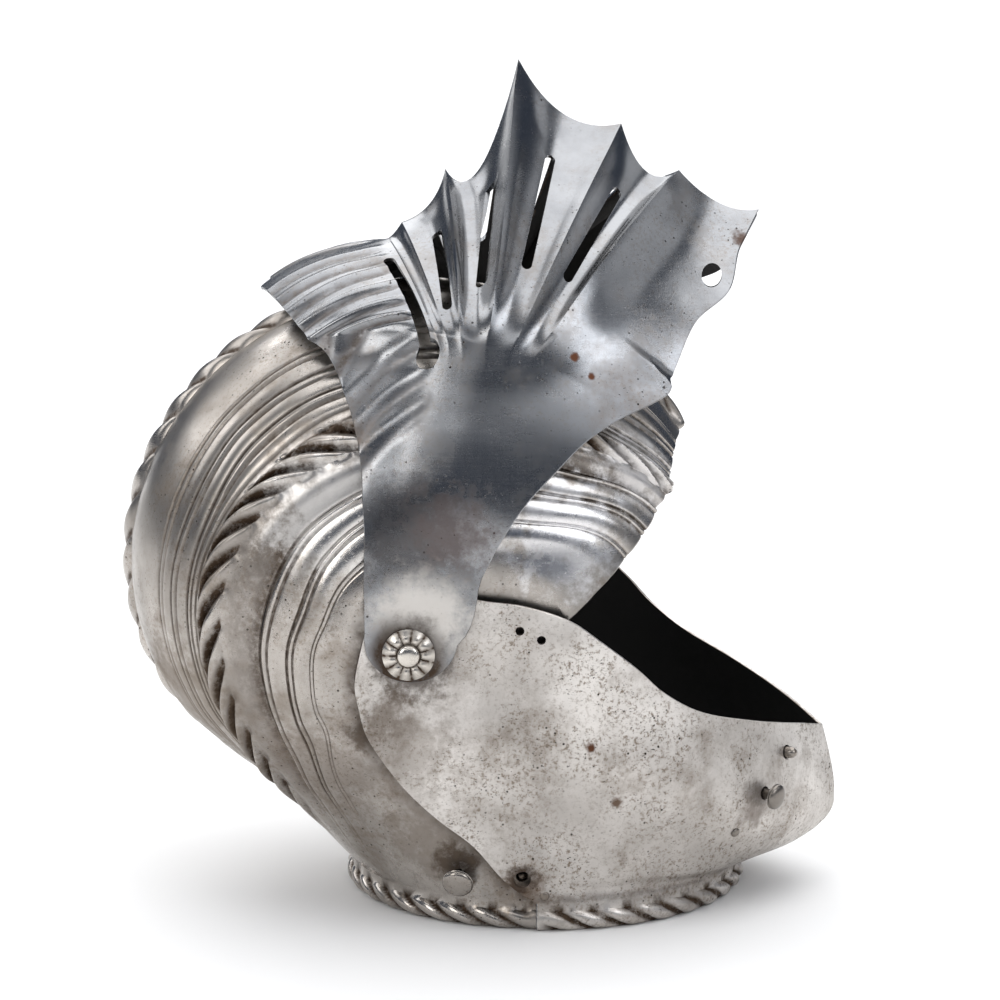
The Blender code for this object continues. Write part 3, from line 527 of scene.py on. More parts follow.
plainSteel = {
    "steel": (0.50, 0.465, 0.43), "steelDeep": (0.30, 0.275, 0.25), "cloudScale": 14,
    "patina": (0.17, 0.125, 0.085), "warmth": 0.55, "haze": 0.5, "hazeDepth": 0.00003,
    "grime": 1.0, "grimeColour": (0.050, 0.028, 0.014), "dirtRough": 0.30, "dirtDull": 0.45,
    "pitScale": 520, "pitSize": 0.40, "pitColour": (0.022, 0.016, 0.012), "pitDark": 1.0, "pitEven": 0.12,
    "pitTurn": (0, 12, 0), "pitDepth": 0.00006, "dotSize": 0.30,
    "rough": 0.20, "roughVary": 0.17, "scratch": 0.12, "brushTurn": (0, 20, 0), "lineDepth": 0.000003,
    "relief": 0.8, "dents": 0.00022, "insideColour": (0.012, 0.011, 0.010),
}
skullSteel = wornSteel("skull_steel_painted_light_worn", plainSteel, stainsAndLightPatches=(
    # painted highlights: three light, glossy patches on the upper skull
    stainOrLightPatch(0.069, -0.09, 0.052, 0.034, 0.75, (0.86, 0.85, 0.86), rough=0.0, dull=0.0),
    stainOrLightPatch(0.11, -0.066, 0.078, 0.032, 0.6, (0.8, 0.78, 0.77), rough=0.0, dull=0.0),
    stainOrLightPatch(-0.034, -0.095, 0.062, 0.038, 0.6, (0.8, 0.78, 0.76), rough=0.0, dull=0.0),
    stainOrLightPatch(0.02, -0.086, -0.102, 0.014, 0.95, (0.045, 0.028, 0.017)),
    stainOrLightPatch(0.02, -0.088, -0.114, 0.009, 0.85, (0.3, 0.16, 0.045), dull=0.2),
    stainOrLightPatch(-0.016, -0.098, -0.04, 0.016, 0.8, (0.06, 0.04, 0.025)),
    stainOrLightPatch(-0.105, -0.06, -0.04, 0.05, 0.55, (0.14, 0.1, 0.065)),
    stainOrLightPatch(-0.04, -0.08, -0.06, 0.036, 0.45, (0.13, 0.09, 0.06)),
    stainOrLightPatch(0.005, -0.085, -0.095, 0.028, 0.5, (0.12, 0.085, 0.055)),
))
bevorSteel = wornSteel("bevor_steel_worn", dict(
    plainSteel, steel=(0.72, 0.685, 0.65), steelDeep=(0.46, 0.43, 0.40), rough=0.30, roughVary=0.17,
    haze=0.9, pitSize=0.62, pitEven=0.2, brushTurn=(0, -40, 0)), stainsAndLightPatches=(
    stainOrLightPatch(-0.01, -0.104, -0.03, 0.016, 0.45, (0.1, 0.066, 0.04)),
    stainOrLightPatch(0.152, -0.055, -0.082, 0.014, 0.5, (0.1, 0.06, 0.035)),
    stainOrLightPatch(0.0806, -0.0968, -0.045, 0.003, 1, (0.1, 0.035, 0.012)),
    stainOrLightPatch(0.0925, -0.0915, -0.072, 0.0036, 0.9, (0.11, 0.055, 0.025)),
    stainOrLightPatch(0.05, -0.093, -0.113, 0.014, 0.6, (0.12, 0.065, 0.03)),
    stainOrLightPatch(0.002, -0.101, -0.006, 0.021, 0.75, (0.06, 0.038, 0.024)),
    stainOrLightPatch(-0.004, -0.095, -0.045, 0.034, 0.4, (0.16, 0.12, 0.085)),
    stainOrLightPatch(0.0502, -0.0925, -0.1075, 0.0085, 0.9, (0.05, 0.03, 0.018)),
))
visorSteel = wornSteel("visor_steel_painted_reflection_worn", dict(
    plainSteel, steel=(0.32, 0.325, 0.335), steelDeep=(0.20, 0.205, 0.215), rough=0.19, roughVary=0.13,
    haze=0.35, pitSize=0.30, pitEven=0.08, warmth=0.35, brushTurn=(0, 65, 0)), stainsAndLightPatches=(
    # painted reflections: a dark grey patch in the middle of the cheek, and a light patch below it above the
    # lug
    stainOrLightPatch(0.004, -0.106, 0.054, 0.034, 0.75, (0.085, 0.08, 0.082), rough=0.05, dull=0.1),
    stainOrLightPatch(0.006, -0.106, 0.018, 0.028, 0.85, (0.62, 0.59, 0.555), rough=0.08, dull=0.0, ragged=0.3),
    stainOrLightPatch(-0.001, -0.106, 0.002, 0.0205, 1, (0.035, 0.019, 0.009), ragged=0.25),
    stainOrLightPatch(-0.035, -0.088, 0.09, 0.026, 0.6, (0.13, 0.085, 0.05)),
    stainOrLightPatch(0.15, -0.01, 0.168, 0.007, 0.9, (0.07, 0.03, 0.014)),
    stainOrLightPatch(0.0731, -0.0816, 0.1287, 0.0026, 1, (0.12, 0.04, 0.015)),
    stainOrLightPatch(0.0805, -0.0821, 0.12, 0.002, 1, (0.12, 0.04, 0.015)),
    stainOrLightPatch(0.02, -0.107, 0.058, 0.024, 0.4, (0.17, 0.125, 0.115), dull=0.0),
))
boltSteel = wornSteel("bolt_steel_worn", dict(
    plainSteel, steel=(0.72, 0.68, 0.62), steelDeep=(0.55, 0.51, 0.46), rough=0.16, warmth=0.25, haze=0.15))
catchSteel = wornSteel("catch_steel_worn", dict(
    plainSteel, steel=(0.36, 0.33, 0.30), steelDeep=(0.20, 0.18, 0.16), warmth=0.6))
print("finishes mixed")


# The roped rim round the neck, shared by skull and bevor

neckRim = {
    "centreX": 0.0604, "halfLength": 0.0895, "halfWidth": 0.0859, "waistDrop": 0.1200, "seamX": 0.0565,
    "seamGap": 0.0006, "radius": 0.0055, "inset": 0.0033, "lumps": 18, "lumpDepth": 0.0025, "twist": 1.3,
    "steps": 12, "ways": 22, "fromTo": (52, -232),  # degrees round the roll: 0 is outward, -90 is down
}


def rimPoint(angle, grow, drop):
    return Vector((neckRim["centreX"] - (neckRim["halfLength"] + grow) * math.cos(angle),
                   -(neckRim["halfWidth"] + grow) * math.sin(angle), -drop))


def seamAngle(grow, slack):
    return math.acos((neckRim["centreX"] - neckRim["seamX"] - slack) / (neckRim["halfLength"] + grow))


def rimRope(first, last, grow, lean):
    # chains round the rolled rim from its outer top over the underside to its inner top
    centre = neckRim["waistDrop"] + neckRim["radius"] * 1.4
    count = neckRim["lumps"] * neckRim["steps"]
    beads, grimes = [], []
    for k in range(neckRim["ways"] + 1):
        way = math.radians(mix(*neckRim["fromTo"], k / neckRim["ways"]))
        flat = ease(math.radians(-58), math.radians(-80), way)  # it stands nearly smooth underneath
        flat *= ease(math.radians(-122), math.radians(-100), way)
        bead, grime = [], []
        for i in range(count + 1):
            angle = mix(first, last, i / count)
            half = abs(2 * i / count - 1)
            phase = (1 - half) * neckRim["lumps"] / 2 + lean * neckRim["twist"] * way / math.pi
            hollow = 1 - math.sin(math.pi * (phase - math.floor(phase)) ** 0.8) ** 0.7
            fadeEnds = ease(0, 0.03, min(i, count - i) / count)
            reach = neckRim["radius"] * 0.985 - neckRim["lumpDepth"] * hollow * fadeEnds * (1 - 0.85 * flat)
            bead.append(rimPoint(angle, grow - neckRim["inset"] + reach * math.cos(way),
                                 centre - reach * math.sin(way)))
            grime.append(ease(0.22, 0.55, hollow) * fadeEnds)
        beads.append(bead)
        grimes.append(grime)
    return beads, grimes


# The bevor

bevorShape = {"reach": 0.196, "prow": 3.8, "rows": 90, "hem": 0.0005, "dents": (0.00030, 0.026)}
bevorRim = columnsOf(
    ("x", "z"),
    (0.971, -0.307), (0.903, -0.272), (0.787, -0.224), (0.663, -0.173), (0.577, -0.114),
    (0.520, -0.056), (0.431, 0.019), (0.365, 0.067), (0.260, 0.104), (0.172, 0.117), (0.077, 0.135),
    (-0.020, 0.122), (-0.100, 0.041),
)
bevorKeel = columnsOf(
    ("x", "z"),
    (0.971, -0.307), (0.989, -0.381), (1.000, -0.450), (1.000, -0.500), (0.980, -0.539),
    (0.942, -0.568), (0.888, -0.592), (0.828, -0.602), (0.7755, -0.612),
)
bevorRear = columnsOf(
    ("x", "z"),
    (-0.100, 0.041), (-0.123, -0.072), (-0.115, -0.131), (-0.099, -0.193), (-0.064, -0.253),
    (-0.008, -0.329), (0.062, -0.399), (0.142, -0.465), (0.210, -0.547), (0.288, -0.612),
)


# The skull

# the seam entry gives the strength and width of the painted shade on the skull along the bevor's rear edge
skullShape = {"radius": 0.150, "halfWidth": 0.100, "bulge": 2.4, "crown": 2.1, "bowlShare": 0.88,
              "ropeHeight": 0.0045, "ridgeHeight": 0.0011, "cutDepth": 0.0012, "seamShade": (0.75, 0.0045),
              "dents": (0.00035, 0.022), "rows": 300, "innerStep": 5}
# Crest as a share of the skull's radius, the others in degrees from the crest
skullSections = columnsOf(
    ("angle", "crest", "rope", "flute", "ear"),
    (9, 1.005, 25, 42, 61), (28, 1.007, 28, 45, 64), (47, 1.013, 37, 56, 71), (75, 1.010, 46, 67, 77),
    (105, 0.993, 51, 73, 80), (135, 0.963, 50.5, 73.5, 81), (160, 0.926, 48.5, 73, 81),
    (180, 0.880, 46, 70, 79), (200, 0.817, 42, 66.5, 77), (215, 0.755, 36, 62, 75),
    (230, 0.722, 27, 57.5, 73), (250, 0.745, 16, 43, 70), (270, 0.800, 12, 34, 66),
)
skullLines = columnsOf(
    ("line", "start", "leave", "rim"),
    (0.0, 33.8, 227, 0), (0.5, 33.0, 229, 8), (1.0, 28.3, 232, 17), (1.5, 25.4, 241, 31),
    (2.0, 22.3, 250, 45), (2.5, 17.0, 256, 58), (3.0, 9.4, 262, 70),
)
# Where ridges and ropes lie across the skull, 0 at the crest and 3 at the ear, on their way to the neck
ridgeRuns = columnsOf(
    ("share", "first", "second", "third", "fourth", "rope", "upper", "lower", "last"),
    (0.00, 0.380, 0.560, 0.770, 0.860, 0.935, 1.280, 1.700, 2.100),
    (0.08, 0.430, 0.620, 0.800, 0.870, 0.935, 1.370, 1.760, 2.180),
    (0.33, 0.445, 0.580, 0.690, 0.815, 0.935, 1.300, 1.530, 1.920),
    (0.43, 0.490, 0.610, 0.725, 0.865, 0.930, 1.340, 1.620, 1.950),
    (0.52, 0.555, 0.680, 0.800, 0.870, 0.935, 1.410, 1.720, 1.990),
    (0.60, 0.600, 0.700, 0.830, 0.885, 0.960, 1.455, 1.760, 2.040),
    (0.67, 0.615, 0.718, 0.845, 0.902, 0.998, 1.474, 1.765, 2.040),
    (0.74, 0.615, 0.718, 0.846, 0.903, 0.998, 1.474, 1.748, 2.015),
    (0.81, 0.610, 0.712, 0.840, 0.898, 0.980, 1.452, 1.715, 1.970),
    (0.90, 0.600, 0.700, 0.830, 0.890, 0.960, 1.410, 1.685, 1.920),
    (1.00, 0.600, 0.700, 0.830, 0.890, 0.955, 1.395, 1.675, 1.890),
)
ridgeHomes = {"first": 0.50, "second": 0.63, "third": 0.76, "fourth": 0.86, "rope": 0.95, "upper": 1.38,
              "lower": 1.68, "last": 2.0}
ridgeCuts = {"first": (0.8, 0.011), "second": (1.0, 0.011), "third": (1.0, 0.011), "fourth": (0.7, 0.009),
             "upper": (1.0, 0.020), "lower": (1.0, 0.020), "last": (0.4, 0.014)}
skullFlutes = (  # from, to and rise
    (0.10, 0.50, 0.0010), (0.50, 0.63, 0.0013), (0.63, 0.76, 0.0013), (0.76, 0.86, 0.0009),
    (1.38, 1.68, 0.0016), (1.68, 2.0, 0.0016), (2.0, 2.5, 0.0010),
)
broadRoll = {"from": 1.02, "to": 1.36, "rise": 0.0016, "sink": 0.0012}  # below the side rope
ropes = {"crest": {"home": 0.0, "inner": 0.085, "outer": 0.085, "pitch": 0.0200, "lean": 0.55, "rise": 1.0,
                   "cut": 0.68, "gap": 0.62},
         "side": {"home": 0.95, "inner": 0.085, "outer": 0.105, "pitch": 0.0190, "lean": 0.95, "rise": 1.20,
                  "cut": 1.0, "gap": 1.08}}


def bowlPoint(line, angle):
    lies = [0.0] + [curveAt(skullSections, "angle", name, angle) for name in ("rope", "flute", "ear")]
    lie = math.radians(curveAt({"line": [0, 1, 2, 3], "lie": lies}, "line", "lie", line))
    share = math.cos(lie)
    radius = curveAt(skullSections, "angle", "crest", angle) * skullShape["radius"] - skullShape["ropeHeight"]
    width = skullShape["halfWidth"] * (1 - share ** skullShape["bulge"]) ** (1 / skullShape["crown"])
    return sidePoint(radius * share, angle, -width)


def skullPoint(line, share):
    if line > 3:
        start = skullPoint(3, 0)
        end = rimPoint(seamAngle(0, 0), 0, neckRim["waistDrop"])
        return skullPoint(3, share).lerp(start.lerp(end, share), line - 3)
    start, leave, rim = (curveAt(skullLines, "line", name, line) for name in ("start", "leave", "rim"))
    bowlShare = skullShape["bowlShare"]
    if share <= bowlShare:
        return bowlPoint(line, mix(start, leave, share / bowlShare))
    left = (share - bowlShare) / (1 - bowlShare)
    blend = left * left * (3 - 2 * left) * 0.35 + left * 0.65
    return bowlPoint(line, leave).lerp(rimPoint(math.radians(rim), 0, neckRim["waistDrop"]), blend)


def runningLine(home, share):
    # home is the even place of a grid line; the ridges wander, and the grid goes with them
    names = list(ridgeHomes)
    homes = [0.0] + [ridgeHomes[name] for name in names] + [2.6, 4.0]
    lines = [0.0] + [curveAt(ridgeRuns, "share", name, share) for name in names] + [2.6, 4.0]
    k = max(i for i in range(len(homes) - 1) if homes[i] <= home)
    return mix(lines[k], lines[k + 1], (home - homes[k]) / (homes[k + 1] - homes[k]))


def ropeRise(rope, home, travelled, side):
    # height and dirt of a twisted rope, at a place across it and a distance along it
    across = (home - rope["home"]) / (rope["outer"] if home > rope["home"] else rope["inner"])
    if abs(across) >= 1:
        return 0.0, 0.0
    phase = travelled / rope["pitch"] + rope["lean"] * across * side
    wave = phase - math.floor(phase)
    strand = math.sin(math.pi * wave ** 0.8) ** 0.9  # steeper on its upper side, like a laid cord
    body = (1 - across * across) ** 0.6
    lens = mix(1.0, strand, rope["cut"])
    leaf = rope["gap"] * mix(1.25, 0.75, (across + 1) / 2)  # the hollows are leaves, broad toward the crest
    hollow = ease(leaf, leaf * 0.45, strand) * ease(1.0, 0.85, abs(across))
    return body * lens * rope["rise"], hollow


bevorSeam = [alongOutline(bevorRear, i / 40, bevorShape["reach"]) for i in range(41)]


def seamShade(p):
    # painted shade: the skull is darkened along the bevor's rear edge, where the edge casts its shadow
    away = min(math.hypot(p.x - x, p.z - z) for x, z in bevorSeam)
    strength, width = skullShape["seamShade"]
    return strength * bump(away, width)


def skullRelief(home, share, travelled, side):
    fade = 1 - ease(0.86, 0.975, share)
    rise, grime = 0.0, 0.0
    for name, rope in ropes.items():
        up, darkAmount = ropeRise(rope, home, travelled[name], side if name == "crest" else 1)
        rise += skullShape["ropeHeight"] * up * fade
        grime = max(grime, darkAmount * fade)
    low = 1 - 0.25 * ease(0.55, 0.85, share)
    for name, (strength, width) in ridgeCuts.items():
        off = home - ridgeHomes[name]
        if abs(off) < width * 5:
            groove = bump(abs(off) - 1.9 * width, width * 0.5)
            rise += strength * fade * low * (
                skullShape["ridgeHeight"] * bump(off, width) - skullShape["cutDepth"] * groove)
            grime = max(grime, strength * fade * groove)
    for a, b, height in skullFlutes:
        if a < home < b:
            rise += height * fade * low * math.sin(math.pi * (home - a) / (b - a)) ** 0.8
    if broadRoll["from"] < home < broadRoll["to"]:
        t = (home - broadRoll["from"]) / (broadRoll["to"] - broadRoll["from"])
        rise += fade * broadRoll["rise"] * math.sin(math.pi * min(1.0, t / 0.62))
        rise -= fade * broadRoll["sink"] * bump(t - 0.85, 0.16)
        grime = max(grime, fade * (0.6 * bump(t - 0.86, 0.2) + 0.35 * bump(t - 0.4, 0.35)))
    return rise, grime


def makeSkull():
    # closer lines where ropes and ridges run
    halfHomes = spread((0.0, 0.085, 9), (0.085, 0.46, 8), (0.46, 0.54, 10), (0.54, 0.59, 3), (0.59, 0.67, 10),
                       (0.67, 0.72, 3), (0.72, 0.80, 10), (0.80, 0.84, 3), (0.84, 1.05, 22), (1.05, 1.30, 8),
                       (1.30, 1.46, 13), (1.46, 1.60, 4), (1.60, 1.76, 13), (1.76, 1.92, 4), (1.92, 2.08, 12),
                       (2.08, 4.0, 12))
    rows = skullShape["rows"]
    shares = [i / rows for i in range(rows + 1)]
    travel = {name: [0.0] for name in ropes}
    for name, rope in ropes.items():
        line = [skullPoint(runningLine(rope["home"], share), share) for share in shares]
        for a, b in zip(line, line[1:]):
            travel[name].append(travel[name][-1] + (a - b).length)
    base, relief, grimes = [], [], []
    for i, share in enumerate(shares):
        half = [skullPoint(runningLine(home, share), share) for home in halfHomes]
        travelled = {name: travel[name][i] for name in ropes}
        halves = []
        for side in (1, -1):
            marks = [skullRelief(home, share, travelled, side) for home in halfHomes]
            # painted shade along the bevor's rear edge is added to the dirt of the ropes and ridges
            darkenings = [max(darkAmount, seamShade(p)) if home > 1.3 else darkAmount
                     for home, p, (_, darkAmount) in zip(halfHomes, half, marks)]
            halves.append(([rise for rise, _ in marks], darkenings))
        base.append(mirroredRow(half))
        relief.append(bothHalves(halves[0][0], halves[1][0]))
        grimes.append(bothHalves(halves[0][1], halves[1][1]))
    out = gridNormals(base, Vector((0, 0, 1)))
    outer = [[p + n * (rise + hammered(p, *skullShape["dents"])) for p, n, rise in zip(*layers)]
             for layers in zip(base, out, relief)]
    thin = shares[::skullShape["innerStep"]]
    innerHomes = spread((0.0, 1.0, 16), (1.0, 2.0, 10), (2.0, 4.0, 8))
    back = [mirroredRow([skullPoint(home, share) for home in innerHomes]) for share in thin]
    inner = [[p - n * plateThick for p, n in zip(row, ns)]
             for row, ns in zip(back, gridNormals(back, Vector((0, 0, 1))))]
    inner[0] = [p - n * plateThick for p, n in zip(base[0], out[0])]
    seam = seamAngle(0, 0)
    beads, beadGrime = rimRope(seam, -seam, 0, -1)
    shell = plateShell(outer, inner, grimes, [[insideGrime] * len(row) for row in inner], beads, beadGrime)
    skull = shell.build("skull_shell", skullSteel)
    print("skull raised,", len(skull.data.polygons), "faces")
    return skull


skull = makeSkull()
skullTree = treeOf(skull)


# What turns over the skull keeps clear of it

turning = {"bevorLift": math.radians(60), "visorDrop": math.radians(68), "step": math.radians(3),
           "lugRoom": 0.0005, "bevorRoom": 0.0010, "visorRoom": 0.0027, "lugRadius": 0.0205,
           "rosetteRadius": 0.0118, "soft": 0.012}
# Rings of the visor's clearance map out from the pivot, and its places round it in degrees
clearMap = {"near": 0.006, "step": 0.0040, "count": 42, "first": -64, "turn": 4, "turns": 78, "slack": 4,
            "roundPasses": 26, "outPasses": 4}


def sideOf(tree, x, z):
    hit = tree.ray_cast(Vector((x, -1, z)), Vector((0, 1, 0)))[0]
    return min(0.0, hit.y) if hit else 0.0


def roomAt(away, room):
    # the lug lies close round the bolt, and the plate stands clearer beyond it
    return turning["lugRoom"] + room * ease(turning["rosetteRadius"] * 1.05, turning["lugRadius"] * 1.3, away)


def softPush(y, need, away):
    # goes out to what is needed, with a soft start to the rise
    soft = turning["soft"] * ease(1.5 * turning["lugRadius"], 4 * turning["lugRadius"], away)
    meet = max(soft - abs(y - need), 0.0)
    return min(y, need) - (meet * meet / (4 * soft) if soft else 0.0)


def liftOver(point, room, *sweeps):
    # how far the point goes out sideways to clear what it turns over
    y = point.y
    away = math.hypot(point.x, point.z)
    for tree, first, last in sweeps:
        count = max(1, math.ceil((last - first) / turning["step"]))
        face = 0.0
        for i in range(count + 1):
            turn = mix(first, last, i / count)
            c, s = math.cos(turn), math.sin(turn)
            face = min(face, sideOf(tree, point.x * c - point.z * s, point.x * s + point.z * c))
        if face < 0:
            y = softPush(y, face - gap - plateThick - roomAt(away, room), away)
    return y - point.y


class Lift:
    # lifts taken at a few places and carried smoothly between them

    def __init__(self, rows, columns, pointAt, room, *sweeps):
        self.rows, self.columns = rows, columns
        self.grid = [[0.0] + [liftOver(pointAt(row, column), room, *sweeps) for column in columns[1:]]
                     for row in rows]

    def line(self, column):
        lifts = [curveAt({"at": self.columns, "lift": row}, "at", "lift", column) for row in self.grid]
        return {"at": self.rows, "lift": lifts}

    def at(self, line, row):
        return curveAt(line, "at", "lift", row)


def cubicAt(values, at):
    # smooth curve through evenly spaced values
    i = min(max(int(at), 1), len(values) - 3)
    t = at - i
    before, here, there, after = values[i - 1:i + 3]
    bend = 2 * before - 5 * here + 4 * there - after
    return here + 0.5 * t * (there - before + t * (bend + t * (3 * (here - there) + after - before)))


class Clearance:
    # how far out the visor stands over all that each of its points passes, by distance and angle

    def __init__(self, room, *sweeps):
        turns, step, slack = clearMap["turns"], clearMap["turn"], clearMap["slack"]
        self.grid = []
        for i in range(clearMap["count"]):
            radius = clearMap["near"] + i * clearMap["step"]
            row = [0.0] * turns
            for tree, back, ahead in sweeps:
                low, high = math.floor(back / step) - slack, math.ceil(ahead / step) + slack
                faces = []
                for j in range(low, turns + high + 1):
                    p = sidePoint(radius, clearMap["first"] + j * step, 0)
                    faces.append(sideOf(tree, p.x, p.z))
                row = [min(held, *faces[j:j + high - low + 1]) for j, held in enumerate(row)]
            stand = gap + plateThick + roomAt(radius, room)
            self.grid.append([face - stand if face < 0 else 0.0 for face in row])
        for _ in range(clearMap["roundPasses"]):
            self.grid = [self.eased(row) for row in self.grid]
        for _ in range(clearMap["outPasses"]):
            self.grid = [list(row) for row in zip(*[self.eased(column) for column in zip(*self.grid)])]

    def eased(self, values):
        before, after = [values[0], *values[:-1]], [*values[1:], values[-1]]
        return [(a + 2 * value + b) / 4 for a, value, b in zip(before, values, after)]

    def over(self, point):
        away = math.hypot(point.x, point.z)
        angle = math.degrees(math.atan2(point.z, point.x))
        angle += 360 if angle < -100 else 0
        i = (away - clearMap["near"]) / clearMap["step"]
        if i > clearMap["count"] - 2:
            return point.y
        across = (angle - clearMap["first"]) / clearMap["turn"]
        low = min(max(int(i), 1), clearMap["count"] - 3)
        rows = [cubicAt(row, across) for row in self.grid[low - 1:low + 3]]
        return softPush(point.y, min(0.0, cubicAt(rows, i - low + 1)), away)


# The bevor over it

def bevorWidth(x, front, share):
    grow = plateThick + gap
    prow = skullShape["halfWidth"] * (1 - max(0.0, x / front) ** bevorShape["prow"])
    halfLength = front - neckRim["centreX"] if x > neckRim["centreX"] else neckRim["halfLength"] + grow
    off = min(1.0, abs(x - neckRim["centreX"]) / halfLength)
    ring = (neckRim["halfWidth"] + grow) * math.sqrt(1 - off * off)
    return mix(prow, ring, ease(0.35, 1.0, share))


def bevorPoint(across, share):
    grow = plateThick + gap
    reach = bevorShape["reach"]
    rim = alongOutline(bevorRim, across, reach)
    turn = math.pi - across * (math.pi - seamAngle(grow, neckRim["seamGap"]))
    neck = rimPoint(turn, grow, neckRim["waistDrop"])
    keel = alongOutline(bevorKeel, share, reach)
    rear = alongOutline(bevorRear, share, reach)
    corners = [alongOutline(outline, end, reach)
               for outline, end in ((bevorRim, 0), (bevorRim, 1), (bevorKeel, 1), (bevorRear, 1))]
    flat = []
    for k, edge in enumerate((neck.x, neck.z)):
        front, back, low, rearLow = (corner[k] for corner in corners)
        twist = mix(mix(front, back, across), mix(low, rearLow, across), share)
        flat.append(mix(rim[k], edge, share) + mix(keel[k], rear[k], across) - twist)
    if across == 0:
        return Vector((flat[0], 0, flat[1]))
    width = mix(bevorWidth(flat[0], keel[0], share), -neck.y, ease(0.9, 1.0, share))
    return Vector((flat[0], -width, flat[1]))


def makeBevor():
    coarse = [0, 0.05, 0.11, 0.18, 0.26, 0.35, 0.45, 0.55, 0.65, 0.74, 0.82, 0.90, 0.95, 1.0]
    lift = Lift([i / 12 for i in range(13)], coarse, lambda share, across: bevorPoint(across, share),
                turning["bevorRoom"], (skullTree, 0, turning["bevorLift"]))
    places = spread((0.0, 0.05, 6), (0.05, 0.9, 56), (0.9, 1.0, 10))
    lines = [lift.line(across) for across in places]
    shares = [i / bevorShape["rows"] for i in range(bevorShape["rows"] + 1)]
    half = []
    for share in shares:
        row = []
        for across, line in zip(places, lines):
            p = bevorPoint(across, share)
            p.y += min(0.0, lift.at(line, share)) * (1 - ease(0.93, 1.0, share)) if across > 0 else 0.0
            row.append(p)
        half.append(row)
    base = [mirroredRow(row) for row in half]
    out = gridNormals(base, Vector((1, 0, 0)))
    outer, grimes = [], []
    hems = [bevorShape["hem"] * ease(0.955, 0.985, across) for across in bothHalves(places, places)]
    for share, row, ns in zip(shares, base, out):
        outer.append([p + n * (hammered(p, *bevorShape["dents"]) + hem) for p, n, hem in zip(row, ns, hems)])
        grimes.append([0.45 * bump(share - 0.985, 0.02)] * len(row))
    inner = [[p - n * plateThick for p, n in zip(row, ns)] for row, ns in zip(base[::3], out[::3])]
    inner = [row[::2] for row in inner]
    inner[0] = [p - n * plateThick for p, n in zip(base[0], out[0])]
    grow = plateThick + gap
    seam = seamAngle(grow, neckRim["seamGap"])
    beads, beadGrime = rimRope(seam, math.tau - seam, grow, 1)
    shell = plateShell(outer, inner, grimes, [[insideGrime] * len(row) for row in inner], beads, beadGrime)
    bevor = shell.build("bevor_shell", bevorSteel)
    print("bevor raised,", len(bevor.data.polygons), "faces")
    return bevor


bevor = makeBevor()
bevorTree = treeOf(bevor)


# The visor

visorShape = {"reach": 0.2548, "cheekRadius": 0.140, "cheekHalfWidth": 0.088, "foldAngle": 1.35,
              "foldRows": 16, "foreheadRows": 48, "foldSink": 0.0042, "fluteRise": 0.0013,
              "fluteWidth": (0.022, 0.034), "boltDirt": (0.95, 0.0130, 0.0032), "dents": (0.00025, 0.03)}
# Tips of the ridges, each with the hollow before the next
visorFolds = columnsOf(
    ("share", "angle", "radius", "hollowAngle", "hollowRadius"),
    (0.000, 49.1, 0.944, 52.2, 0.889), (0.317, 58.7, 0.917, 60.8, 0.845),
    (0.387, 66.7, 0.944, 72.4, 0.881), (0.463, 79.0, 1.000, 80.3, 0.700),
    (0.544, 85.6, 0.789, 86.4, 0.711), (0.587, 91.4, 0.690, 92.6, 0.668),
    (0.620, 93.6, 0.662, 97.5, 0.652), (0.760, 101.5, 0.6515, 109.0, 0.655),
    (1.000, 115.1, 0.634, 115.1, 0.634),
)
visorFront = columnsOf(
    ("radius", "angle"),
    (0.157, 12), (0.300, 43.5), (0.400, 50.0), (0.500, 52.2), (0.614, 52.6), (0.736, 51.5),
    (0.853, 50.5), (0.950, 48.7), (1.143, 44.4), (1.211, 45.7), (1.357, 47.6), (1.493, 46.6),
    (1.597, 48.6), (1.720, 49.1),
)
visorRear = columnsOf(
    ("radius", "angle"),
    (0.157, 151), (0.208, 131), (0.349, 113), (0.537, 105.4), (0.690, 103.3), (0.836, 104.1),
    (0.959, 106.2), (1.057, 111.7), (1.154, 115.1),
)
visorSwell = columnsOf(
    ("share", "width", "round", "side"),
    (0.00, 0.91, 1.0, 1.6), (0.30, 0.98, 1.0, 1.5), (0.45, 0.99, 1.0, 1.5), (0.56, 0.95, 1.1, 1.5),
    (0.66, 0.90, 1.4, 1.40), (0.80, 0.80, 1.8, 1.28), (1.00, 0.70, 2.0, 1.2),
)
# Forehead flutes: column at the first slot and at the rear edge, and height over the usual rise
foreheadFlutes = columnsOf(
    ("front", "rear", "strength"),
    (0.10, 0.22, 0.8), (0.24, 0.44, 1.0), (0.365, 0.655, 1.0), (0.53, 0.825, 1.0), (0.69, 0.99, 1.0),
    (0.836, 1.06, 1.2), (1.03, 1.205, 0.65), (1.15, 1.305, 0.6), (1.26, 1.410, 0.4),
)
visorSlots = columnsOf(
    ("shareOut", "columnOut", "shareIn", "columnIn", "width", "keyhole", "depth"),
    (0.654, 0.26, 0.659, 1.08, 0.036, 2.1, 0.016), (0.565, 0.23, 0.569, 0.75, 0.030, 1.0, 0.010),
    (0.488, 0.20, 0.496, 0.65, 0.029, 1.0, 0.010), (0.427, 0.18, 0.421, 0.61, 0.034, 1.0, 0.010),
    (0.363, 0.15, 0.358, 0.57, 0.034, 1.0, 0.010),
)


def foldTip(share):
    shares = visorFolds["share"]
    k = max(i for i in range(len(shares) - 1) if shares[i] <= share)
    t = (share - shares[k]) / (shares[k + 1] - shares[k])

    def spot(angle, radius):
        return sidePoint(radius * visorShape["reach"], angle, 0)

    start = spot(visorFolds["angle"][k], visorFolds["radius"][k])
    hollow = spot(visorFolds["hollowAngle"][k], visorFolds["hollowRadius"][k])
    end = spot(visorFolds["angle"][k + 1], visorFolds["radius"][k + 1])
    return start * (1 - t) ** 2 + hollow * 2 * t * (1 - t) + end * t * t


lugHalfWidth = skullShape["halfWidth"] + 2 * (plateThick + gap + turning["lugRoom"])


